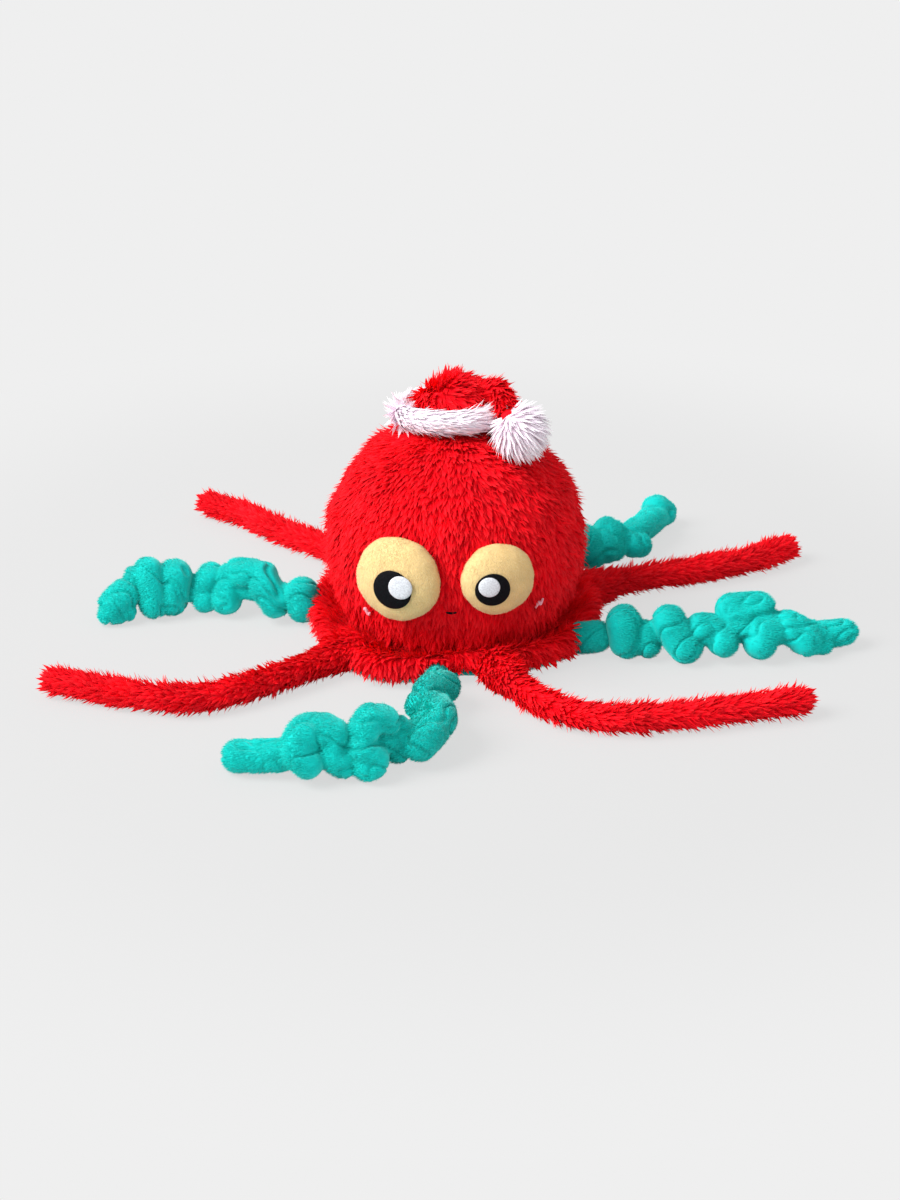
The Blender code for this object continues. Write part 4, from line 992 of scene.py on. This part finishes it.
def make_tail():
    reach = CROWN_RADIUS * TAIL_FOLD
    inside, fold = in_hat(reach / 2), in_hat(reach)
    root = pompom_centre + POMPOM_ROOT
    line = smooth_line([inside, fold, in_hat(TAIL_CREST), root], TAIL_STEPS)
    headings = unit(np.gradient(line, axis=0))
    radii = np.linspace(*TAIL_RADII, len(line)) - PILE_HEIGHT * TAIL_PILE_SHARE
    skin = loft("hat_tail_plush", tube_rings(line, headings, radii, TAIL_SIDES))
    comb = tip_comb(headings, TAIL_SIDES)
    grows = np.linalg.norm(points_of(skin) - root, axis=1) > TAIL_BARE
    tail = grow("hat_tail_plush", skin, grows, comb, red_plush, TAIL_LAYERS, 71, swirl=1.2)
    tuple(inside)
    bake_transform(tail)
    tie(tail, ("hat_tail",), "red_plush", body=None)


def make_pompom():
    """A ball whose strands are all combed away from the tail's end, which sits at its upper front."""
    hang = unit(-POMPOM_ROOT)
    local = dome((3, 177), POMPOM_RINGS, POMPOM_SIDES, 1, 1)
    skin = loft("pompom_fur", pompom_centre + POMPOM_CORE * local)
    comb = laid_along(hang, unit(points_of(skin) - pompom_centre))
    pompom = grow("pompom_fur", skin, 1, comb, white_fur, POMPOM_LAYERS, 81, swirl=0.3, swirl_size=9)
    tie(pompom, ("pompom",), "white_fur", body="pompom_swing")


make_tail()
make_pompom()

# %% [markdown]
# ## Routes along the table
#
# Every leg lies along the table on its own curve. A route is a dense line through a few points, read off by
# the length along it. The same few points made the solid model, so skin and solid share their centre line.

# %% Read routes by length
FLOOR_DIP = 0.5 * MM
ROUTE_STEPS = 80


class Route:
    """A dense line that can be read at any length along it."""

    def __init__(self, points):
        self.points = points
        steps = np.linalg.norm(np.diff(points, axis=0), axis=1)
        self.lengths = np.concatenate([[0], np.cumsum(steps)])
        self.length = self.lengths[-1]

    def at(self, along):
        return np.stack([np.interp(along, self.lengths, self.points[:, i]) for i in range(3)], -1)

    def heading(self, along, step=MM):
        return unit(self.at(along + step) - self.at(along - step))

    def headings(self, stations):
        return np.array([self.heading(s) for s in stations])


def leg_route(azimuth, reach, shares, height_at):
    """A leg's centre line, from inside the rim. Its height depends on how far a point is from the end."""
    out, side = polar(azimuth), polar(azimuth + 90)
    start = out * (rim_radius - RIM_ROLL)
    places = [start, start + out * RIM_ROLL]
    places += [start + out * (RIM_ROLL + reach * u) + side * reach * v for u, v in shares]
    flat = Route(smooth_line(places, ROUTE_STEPS))
    flat.points[:, 2] = [height_at(flat.length - along) for along in flat.lengths]
    return Route(flat.points)


def blend(piece, a, b, route, start, end):
    """Bakes the piece's placement into its mesh. It does not blend the piece between the two bodies."""
    tuple(route.at(start))
    tuple(route.at(end))
    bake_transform(piece)


def eased(value, start, end):
    """0 up to start and 1 from end, with a smooth rise between."""
    share = np.clip((value - start) / (end - start), 0, 1)
    return share**2 * (3 - 2 * share)


# %% [markdown]
# ## Fur legs
#
# A fur leg is a tube of plush 19 mm thick over its pile, sewn shut at its tip and stuffed loosely enough to
# fold. Where it leaves the rim it is wider, because the seam takes in some of the skirt. The pile is brushed
# towards the tip. The leg is made in two pieces that overlap at the knee: the upper one from the body, the
# lower one from the knee to the tip.

# %% Make the fur legs
FUR_LEG_RADIUS = 9.5 * MM
FUR_LEG_FLARE = 5 * MM
FLARE_POWER = 0.7
TIP_LEAST = 0.25
ROOT_LENGTH = RIM_ROLL + 16 * MM
ROOT_BEND_START = RIM_ROLL - 8 * MM
ROOT_BEND_END = RIM_ROLL + 14 * MM
KNEE_SHARE = 0.52
KNEE_LENGTH = 13 * MM
KNEE_OVERLAP = 3 * MM
KNEE_BEND = 9 * MM
LEG_PILE = 3.8 * MM
LEG_SIDES = 28
LEG_SPACING = 3 * MM
LEG_SWIRL = 1.8
LEG_LAYERS = ((plush_lock, 2.0, 6.8, 2.4, 2.1, 0.8), (plush_fibre, 1.8, 6.6, 1.0, 1.4, 0.9))


def leg_piece(name, route, start, end, radius_at, seed):
    """One length of a fur leg: a tube with closed ends and pile combed towards the tip."""
    stations = np.linspace(start, end, max(3, round((end - start) / LEG_SPACING)))
    headings = route.headings(stations)
    rings = tube_rings(route.at(stations), headings, [radius_at(s) for s in stations], LEG_SIDES)
    rings[..., 2] = np.maximum(rings[..., 2], 2 * FLOOR_CLEARANCE)
    comb = tip_comb(headings, LEG_SIDES)
    grows = np.ones(len(comb))
    grows[-2] = 0
    return grow(name, loft(name, rings), grows, comb, red_plush, LEG_LAYERS, seed, LEG_SWIRL)


def make_fur_leg(name, azimuth, reach, shares, seed):
    route = leg_route(azimuth, reach * MM, shares, lambda to_end: FUR_LEG_RADIUS - FLOOR_DIP)
    knee = RIM_ROLL + (route.length - RIM_ROLL) * KNEE_SHARE
    upper_end = knee - KNEE_LENGTH / 2

    def upper_radius(along):
        flare = FUR_LEG_FLARE * max(1 - along / ROOT_LENGTH, 0) ** FLARE_POWER
        return FUR_LEG_RADIUS - LEG_PILE + flare

    def lower_radius(along):
        inside = min(max((route.length - along) / FUR_LEG_RADIUS, 0), 1)
        return (FUR_LEG_RADIUS - LEG_PILE) * max(math.sqrt(1 - (1 - inside) ** 2), TIP_LEAST)

    upper = leg_piece(name + "_upper_plush", route, 0, upper_end + KNEE_OVERLAP, upper_radius, seed)
    blend(upper, "body", name, route, ROOT_BEND_START, ROOT_BEND_END)
    tie(upper, (name + "_root_fold", name + "_inner"), "red_plush", body=None)
    lower = leg_piece(name + "_lower_plush", route, upper_end, route.length - LEG_PILE, lower_radius, seed + 1)
    blend(lower, name, name + "_lower", route, knee - KNEE_BEND, knee + KNEE_BEND)
    tie(lower, (name + "_knee", name + "_outer"), "red_plush", body=None)


for i, (name, settings) in enumerate(FUR_LEGS.items()):
    make_fur_leg(name, *settings, 110 + 10 * i)

# %% [markdown]
# ## Velvet legs
#
# A velvet leg is a wide tube, half again as long as its elastic. Sewn shut over it, the cloth gathers: it
# rises over the elastic, doubles back under it and rises again, so every gather leans its own way and sharp
# valleys lie between them. Cloth simulation would find some gathers, but not these ones, so each is laid
# as a stroke of tube along a few listed places, deeper than it is wide. A thin neck along the elastic joins
# them, and a voxel remesh melts all into one skin that keeps the valleys. Shallow slanting folds run over it.

# %% The gathers of each leg
# Radius (in mm), how many times deeper than wide, then places: along the leg, aside, height (all in mm)
GATHERS = {
    "velvet_leg_left": {
        "root": ((4.5, 1.0, ((4, 0, 11), (10, 0, 13))), (8.8, 1.3, ((14, 0, 16), (12, -2, 10)))),
        "sleeve": (
            (7.6, 1.5, ((39, 3, 24), (35, -2, 19), (28, -4, 11))),
            (7.4, 1.5, ((46, 2, 25), (58, 4, 21), (58, -5, 9))),
            (7.0, 1.6, ((70, 3, 20), (74, 0, 12), (71, -4, 8))), (8.8, 1.5, ((90, 1, 21), (93, -4, 9))),
            (7.6, 1.5, ((106, 3, 25), (106, -3, 17), (105, -6, 8))),
            (6.0, 1.5, ((113, 4, 21), (116, 3, 13))),
        ),
        "end": ((8.2, 1.2, ((121, -2, 14), (128, -7, 10))), (5.0, 1.2, ((132, -11, 6), (121, -10, 6)))),
    },
    "velvet_leg_front": {
        "root": ((6.0, 1.0, ((0, 0, 6.5), (10, 0, 6.5), (20, -2, 7), (29, -5, 10.5))),),
        "sleeve": (
            (6.0, 1.0, ((28, -5, 10), (33, -6, 12.5))),
            (7.8, 1.0, ((31, -5, 13), (42, 2, 17), (58, 6, 14))),
            (8.0, 1.0, ((62, -2, 17), (78, -10, 20), (88, -10, 17), (95, -9, 13))),
            (5.8, 1.5, ((97, 6, 20), (97, 3, 13), (102, 1, 9))),
            (6.6, 1.5, ((106, 5, 26), (115, 3, 29), (120, 1, 24))),
            (7.2, 1.5, ((121, -3, 16), (116, -5, 10), (120, -6, 8))),
            (7.0, 1.5, ((135, 4, 22), (137, 0, 13), (131, -2, 8))),
            (7.4, 1.5, ((139, 5, 23), (150, 2, 24), (154, -3, 18), (149, -6, 11))),
        ),
        "end": ((7.6, 1.2, ((155, 1, 14), (163, 3, 11), (173, 4, 10), (186, 5, 9))),),
    },
    "velvet_leg_right": {
        "root": ((8.0, 1.1, ((5, 0, 9), (14, 0, 11))),),
        "sleeve": (
            (8.8, 1.4, ((29, 0, 20), (31, 2, 10))), (6.6, 1.4, ((42, -1, 14), (43, 2, 8))),
            (8.5, 1.4, ((54, -2, 21), (59, 1, 14), (64, 4, 9))),
            (7.8, 1.4, ((73, -3, 17), (80, -2, 15), (85, 3, 11))),
            (9.0, 1.2, ((92, -12, 23), (107, -12, 23))),
            (8.2, 1.4, ((115, -3, 16), (107, 1, 15), (105, 4, 10))),
            (8.4, 1.4, ((122, -2, 16), (128, 1, 13), (131, 3, 10))), (4.6, 1.3, ((131, 5, 8), (142, 4, 6))),
        ),
        "end": ((6.8, 1.2, ((134, -2, 11), (147, -3, 9), (158, -3, 9))),),
    },
    "velvet_leg_back": {
        "root": ((9.0, 1.1, ((2, 0, 12), (14, 0, 13))), (8.8, 1.3, ((24, 1, 19), (24, -2, 11)))),
        "sleeve": (
            (9.0, 1.3, ((36, 0, 19), (38, 4, 12))), (8.0, 1.3, ((55, -3, 20), (49, 3, 17), (48, 6, 13))),
            (5.4, 1.3, ((61, -2, 18), (59, 3, 14), (53, 7, 11))),
            (7.0, 1.3, ((71, -4, 13), (66, 4, 12), (70, 6, 11))),
        ),
        "end": (
            (7.0, 1.2, ((76, -5, 12), (90, -5, 11), (106, -5, 10), (120, -4, 10))),
            (7.2, 1.2, ((124, -5, 13), (126, -1, 9))),
        ),
    },
}
PUFF_GAIN = 1.1
NECK_RADIUS = 6 * MM
VOXEL = 0.9 * MM
CAP_RINGS = 6
CAP_START = math.pi / 2 - 0.1
GATHER_SIDES = 28
GATHER_STEPS = 6
FOLD_DEPTH = 1.7 * MM
FOLD_SIZE = 12 * MM
FOLD_SLANT = 0.6
FOLD_WIDTH = 0.08
FOLD_SHIFT = np.array([3.7, 1.3, 0])
RELAXING = 0.5
RELAX_TIMES = 5
NECK_STEPS = 40
COMB_STEPS = 60


def gather_mesh(places, radius, depth, aside):
    """A stroke of tube with round ends, deeper along aside than it is wide."""
    headings = unit(np.gradient(places, axis=0))
    bends = np.linspace(CAP_START, 0, CAP_RINGS, endpoint=False)
    first = [places[0] - headings[0] * radius * math.sin(b) for b in bends]
    last = [places[-1] + headings[-1] * radius * math.sin(b) for b in bends[::-1]]
    caps = [radius * math.cos(b) for b in bends]
    centres = np.array([*first, *places, *last])
    ways = np.array([headings[0]] * CAP_RINGS + list(headings) + [headings[-1]] * CAP_RINGS)
    radii = [*caps, *([radius] * len(places)), *caps[::-1]]
    offsets = tube_rings(centres, ways, radii, GATHER_SIDES, aside) - centres[:, None]
    offsets += (depth - 1) * (offsets @ aside)[..., None] * aside
    return loft("gather", centres[:, None] + offsets)


def folded(points, normals, heading, seed):
    """Draws shallow slanting valleys into cloth where a slow noise crosses zero."""
    shift = Vector(seed * FOLD_SHIFT)
    slant = Vector(unit(heading + UP))
    depths = []
    for point in points:
        spot = Vector(point) / FOLD_SIZE
        level = noise.noise(spot - slant * (spot @ slant) * FOLD_SLANT + shift)
        depths.append(math.exp(-((level / FOLD_WIDTH) ** 2)))
    return points - normals * np.array(depths)[:, None] * FOLD_DEPTH


def knot_place(route, along, side, height):
    """A place beside the route in the toy. Past an end, it goes straight on."""
    station = min(max(along, 0), route.length)
    heading = route.heading(station)
    place = route.at(station) + heading * (along - station) + unit(np.cross(heading, UP)) * side
    place[2] = height
    return place


def sleeve_skin(name, route, gathers, seed, neck):
    """Strokes melted into one skin, with folds drawn over them."""
    strokes = []
    for radius, depth, knots in gathers:
        middle = np.mean([knot[0] for knot in knots]) * MM
        aside = unit(np.cross(route.heading(min(middle, route.length)), UP))
        places = [knot_place(route, a * MM, side * MM, max(height, radius) * MM) for a, side, height in knots]
        strokes.append(gather_mesh(smooth_line(places, GATHER_STEPS), radius * PUFF_GAIN * MM, depth, aside))
    if neck:
        places = route.at(np.linspace(*neck, NECK_STEPS))
        strokes.append(gather_mesh(places, NECK_RADIUS, 1.0, unit(np.cross(route.heading(neck[0]), UP))))
    bm = bmesh.new()
    for stroke in strokes:
        bm.from_mesh(stroke)
        bpy.data.meshes.remove(stroke)
    bmesh.ops.recalc_face_normals(bm, faces=bm.faces)
    mesh = bpy.data.meshes.new(name)
    bm.to_mesh(mesh)
    bm.free()
    obj = link(name + "_form", mesh)
    remesh = obj.modifiers.new("melt", "REMESH")
    remesh.mode = "VOXEL"
    remesh.voxel_size = VOXEL
    relax = obj.modifiers.new("relax", "SMOOTH")
    relax.factor = RELAXING
    relax.iterations = RELAX_TIMES
    skin = made_plain(obj).data
    bpy.data.objects.remove(obj)
    skin.name = name
    points = folded(points_of(skin), normals_of(skin), route.heading(route.length / 2), seed)
    points[:, 2] = np.maximum(points[:, 2], 2 * FLOOR_CLEARANCE)
    set_points(skin, points)
    return outwards(skin)


def velvet_piece(name, route, skin, seed):
    """Nap over a gathered skin, each point combed along the leg as it runs beside it."""
    points = points_of(skin)
    stations = np.linspace(0, route.length, COMB_STEPS)
    nearest = np.argmin(np.linalg.norm(points[:, None] - route.at(stations)[None], axis=2), axis=1)
    comb = route.headings(stations)[nearest]
    return grow(name, skin, 1, comb, turquoise_velvet, NAP_LAYERS, seed, swirl=1.2, swirl_size=16)


print("gathers", {name: len(parts["sleeve"]) for name, parts in GATHERS.items()})

# %% Gather the velvet legs
SLEEVE_HEIGHT = 15.4 * MM
SLEEVE_NECK_LENGTH = 9 * MM
SLEEVE_START = RIM_ROLL + 15 * MM
VELVET_BEND_END = RIM_ROLL + 12 * MM
ELASTIC_RADIUS = 1.5 * MM
ELASTIC_SEAT = 6 * MM
CORD_FROM = RIM_ROLL + 6 * MM
CORD_START = 9 * MM
CORD_RISE_END = 4.5 * RIM_ROLL
CORD_STEPS = 24
CORD_SIDES = 10


def make_velvet_leg(name, azimuth, reach, tip_radius, tip_length, shares, seed):
    tip_radius, tip_length = tip_radius * MM, tip_length * MM
    low = tip_radius - FLOOR_DIP

    def height_at(to_end):
        return low + (SLEEVE_HEIGHT - low) * eased(to_end, tip_radius, tip_length + SLEEVE_NECK_LENGTH)

    route = leg_route(azimuth, reach * MM, shares, height_at)
    sleeve_end = route.length - tip_length
    cord_end = sleeve_end + ELASTIC_SEAT
    parts = GATHERS[name]
    pieces = []
    for i, (part, gathers) in enumerate(parts.items()):
        neck = (SLEEVE_START, cord_end) if part == "sleeve" else None
        skin = sleeve_skin(name + "_" + part, route, gathers, seed + i, neck)
        pieces.append(velvet_piece(name + "_" + part + "_velvet", route, skin, seed + i))
    root, sleeve, end = pieces
    # The sleeve's span along the route starts where the root ends
    root_reach = max(knot[0] for _, _, knots in parts["root"] for knot in knots) * MM
    sleeve_from = max(root_reach, VELVET_BEND_END)
    blend(root, "body", name, route, ROOT_BEND_START, VELVET_BEND_END)
    tie(root, (), "turquoise_velvet", body=None)
    blend(sleeve, name, name + "_end", route, sleeve_from, sleeve_end)
    tie(sleeve, (name + "_sleeve",), "turquoise_velvet", body=None)
    tie(end, (name + "_end",), "turquoise_velvet", body=name + "_end")
    stations = np.linspace(CORD_FROM, cord_end, CORD_STEPS)
    places = route.at(stations)
    places[:, 2] = CORD_START + (places[:, 2] - CORD_START) * eased(stations, RIM_ROLL, CORD_RISE_END)
    rings = tube_rings(places, route.headings(stations), [ELASTIC_RADIUS] * CORD_STEPS, CORD_SIDES)
    cord_name = name + "_covered_elastic"
    cord = link(cord_name, loft(cord_name, rings), covered_elastic)
    blend(cord, name, name + "_end", route, sleeve_from, sleeve_end)
    tie(cord, (name + "_elastic",), "elastic", body=None)


for i, (name, settings) in enumerate(VELVET_LEGS.items()):
    make_velvet_leg(name, *settings, 210 + 10 * i)

# %% [markdown]
# ## Filling and squeaker
#
# The filling is out of sight, but it is what gives the toy its form. Loose polyester fibre is pushed in by
# the handful, so its surface is a field of soft lumps. Each wad starts from the solid model's own, made
# finer and pushed about inwards by a noise. The squeaker's solid form is already right, and only takes its
# finish.

# %% Lump the filling and finish the squeaker
FILLING_INSET = 2.5 * MM
LUMP_DEPTH = 1.2 * MM
LUMP_SIZE = 9 * MM
LUMP_LEVEL = 0.5
DEEPEST_SHARE = 0.3
WELD = 0.01 * MM
RAY_START_MM = 0.1
FILLINGS = ("head_stuffing_top", "head_stuffing_bottom", "skirt_stuffing", "hat_stuffing")


def under_skirt(place):
    """A place in the skirt's filling, drawn in with the rim and kept under the plush's slope."""
    level_radius = math.hypot(place.x, place.y)
    share = np.clip((level_radius - crease_radius) / (rim_radius - RIM_ROLL - crease_radius), 0, 1)
    swell = rim_swell(math.degrees(math.atan2(place.y, place.x)))
    place = place + Vector((place.x, place.y, 0)) * min(swell, 0) * share / level_radius
    cloth = ((crease_radius, CREASE_HEIGHT), (rim_radius - RIM_ROLL + swell, 2 * RIM_ROLL))
    ceiling = np.interp(math.hypot(place.x, place.y), *zip(*cloth)) - PILE_HEIGHT - SHELL_THICKNESS
    place.z = min(place.z, ceiling - FLOOR_CLEARANCE)
    return place


def make_filling(node):
    name = node + "_fibre"
    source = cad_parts[node]
    bm = bmesh.new()
    bm.from_mesh(source.data)
    bm.transform(source.matrix_world)
    bmesh.ops.remove_doubles(bm, verts=bm.verts, dist=WELD)
    bmesh.ops.triangulate(bm, faces=bm.faces)
    bmesh.ops.subdivide_edges(bm, edges=bm.edges, cuts=1, use_grid_fill=True)
    bm.normal_update()
    inside = BVHTree.FromBMesh(bm)
    for vert in bm.verts:
        level = noise.noise(vert.co / LUMP_SIZE) + LUMP_LEVEL
        _, _, _, thick = inside.ray_cast(vert.co - vert.normal * RAY_START_MM * MM, -vert.normal)
        deepest = DEEPEST_SHARE * (thick or 0)
        vert.co -= vert.normal * min(FILLING_INSET + LUMP_DEPTH * max(level, 0), deepest)
        if node == "skirt_stuffing":
            vert.co = under_skirt(vert.co)
    mesh = bpy.data.meshes.new(name)
    bm.to_mesh(mesh)
    bm.free()
    tie(link(name, outwards(mesh), fibrefill), (node,), "fibrefill")


for node in FILLINGS:
    make_filling(node)
for node in ("squeaker_bulb", "squeaker_reed_plug"):
    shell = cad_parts[node].data
    shell.materials.clear()
    shell.materials.append(polythene)
for tuft in tufts:
    bpy.data.objects.remove(tuft)
print("filling made")

# %% [markdown]
# ## Table, light and background
#
# The toy stands on a seamless pale sweep under one large soft lamp, high at the left, with an even surround
# filling the shadows. A direct look meets a flat grey: all of it far from the toy, and three quarters of it
# near the toy, where the rest is lit paper that takes a faint shadow. The paper throws its light back at the
# toy from a lighter grey than this lit paper has.

# %% Lay the table
TABLE_GREY = "#EFEFEF"
TABLE_DIFFUSE = "#B4B4B4"
TABLE_BOUNCE = "#DCDCDC"
SHADOW_SHARE = 0.25
SHADOW_REACH = (0.26, 0.5)
TABLE_SIZE = 8.0


def seen_directly(tree):
    """1 for rays that show a thing itself, to the camera or in a gloss, and 0 for those that bring light."""
    rays = add_node(tree, "ShaderNodeLightPath").outputs
    seen = rays["Is Camera Ray"]
    for way in ("Is Glossy Ray", "Is Transmission Ray"):
        seen = add_node(tree, "ShaderNodeMath", {0: seen, 1: rays[way]}, operation="MAXIMUM").outputs[0]
    return seen


table_mesh = bpy.data.meshes.new("table")
half = TABLE_SIZE / 2
corners = [(-half, -half, 0), (half, -half, 0), (half, half, 0), (-half, half, 0)]
table_mesh.from_pydata(corners, [], [(0, 1, 2, 3)])
# Matt paper: an even pale grey with no gloss at all
paper_constants = {"Base Color": linear(TABLE_DIFFUSE), "Roughness": 1.0, "Specular IOR Level": 0.0}
paper, tree, shader = new_material("matt_paper_sweep", paper_constants)
place = add_node(tree, "ShaderNodeTexCoord").outputs["Object"]
from_toy = add_node(tree, "ShaderNodeVectorMath", {0: place}, operation="LENGTH").outputs["Value"]
fading = {"Value": from_toy, "To Min": 1 - SHADOW_SHARE}
fading.update({"From Min": SHADOW_REACH[0], "From Max": SHADOW_REACH[1]})
flatness = add_node(tree, "ShaderNodeMapRange", fading, interpolation_type="SMOOTHSTEP")
flat = add_node(tree, "ShaderNodeEmission", {"Color": linear(TABLE_GREY), "Strength": 1.0})
near = add_node(tree, "ShaderNodeMixShader", {0: flatness, 1: shader, 2: flat})
bounced = add_node(tree, "ShaderNodeBsdfDiffuse", {"Color": linear(TABLE_BOUNCE)})
mixed = add_node(tree, "ShaderNodeMixShader", {0: seen_directly(tree), 1: bounced, 2: near})
tree.links.new(mixed.outputs[0], tree.nodes["Material Output"].inputs["Surface"])
table = link("table", table_mesh, paper)
print("table's grey in linear light", round(linear(TABLE_GREY)[0], 3))

# %% Light the set
WORLD_STRENGTH = 0.6
KEY_POWER = 182.0
KEY_SIZE = 2.2
KEY_PLACE = Vector((-2.5, -0.8, 2.5))
KEY_AIM = Vector((0, 0, 0.05))

world = bpy.data.worlds.new("studio")
bpy.context.scene.world = world
world.use_nodes = True
tree = world.node_tree
around = tree.nodes["Background"]
around.inputs["Color"].default_value = linear("#FFFFFF")
around.inputs["Strength"].default_value = WORLD_STRENGTH
behind = add_node(tree, "ShaderNodeBackground", {"Color": linear(TABLE_GREY), "Strength": 1.0})
mixed = add_node(tree, "ShaderNodeMixShader", {0: seen_directly(tree), 1: around, 2: behind})
tree.links.new(mixed.outputs[0], tree.nodes["World Output"].inputs["Surface"])

key_data = bpy.data.lights.new("key_lamp", "AREA")
key_data.energy = KEY_POWER
key_data.size = KEY_SIZE
key_lamp = bpy.data.objects.new("key_lamp", key_data)
key_lamp.location = KEY_PLACE
key_lamp.rotation_euler = (KEY_AIM - KEY_PLACE).to_track_quat("-Z", "Y").to_euler()
bpy.context.scene.collection.objects.link(key_lamp)
bpy.context.scene.view_settings.view_transform = "Standard"
print("key lamp at", [round(x, 2) for x in KEY_PLACE])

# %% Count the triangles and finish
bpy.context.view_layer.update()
shapes = [obj.data for obj in bpy.data.objects if obj.type == "MESH"]
print("triangles in all", sum(len(face.vertices) - 2 for shape in shapes for face in shape.polygons))
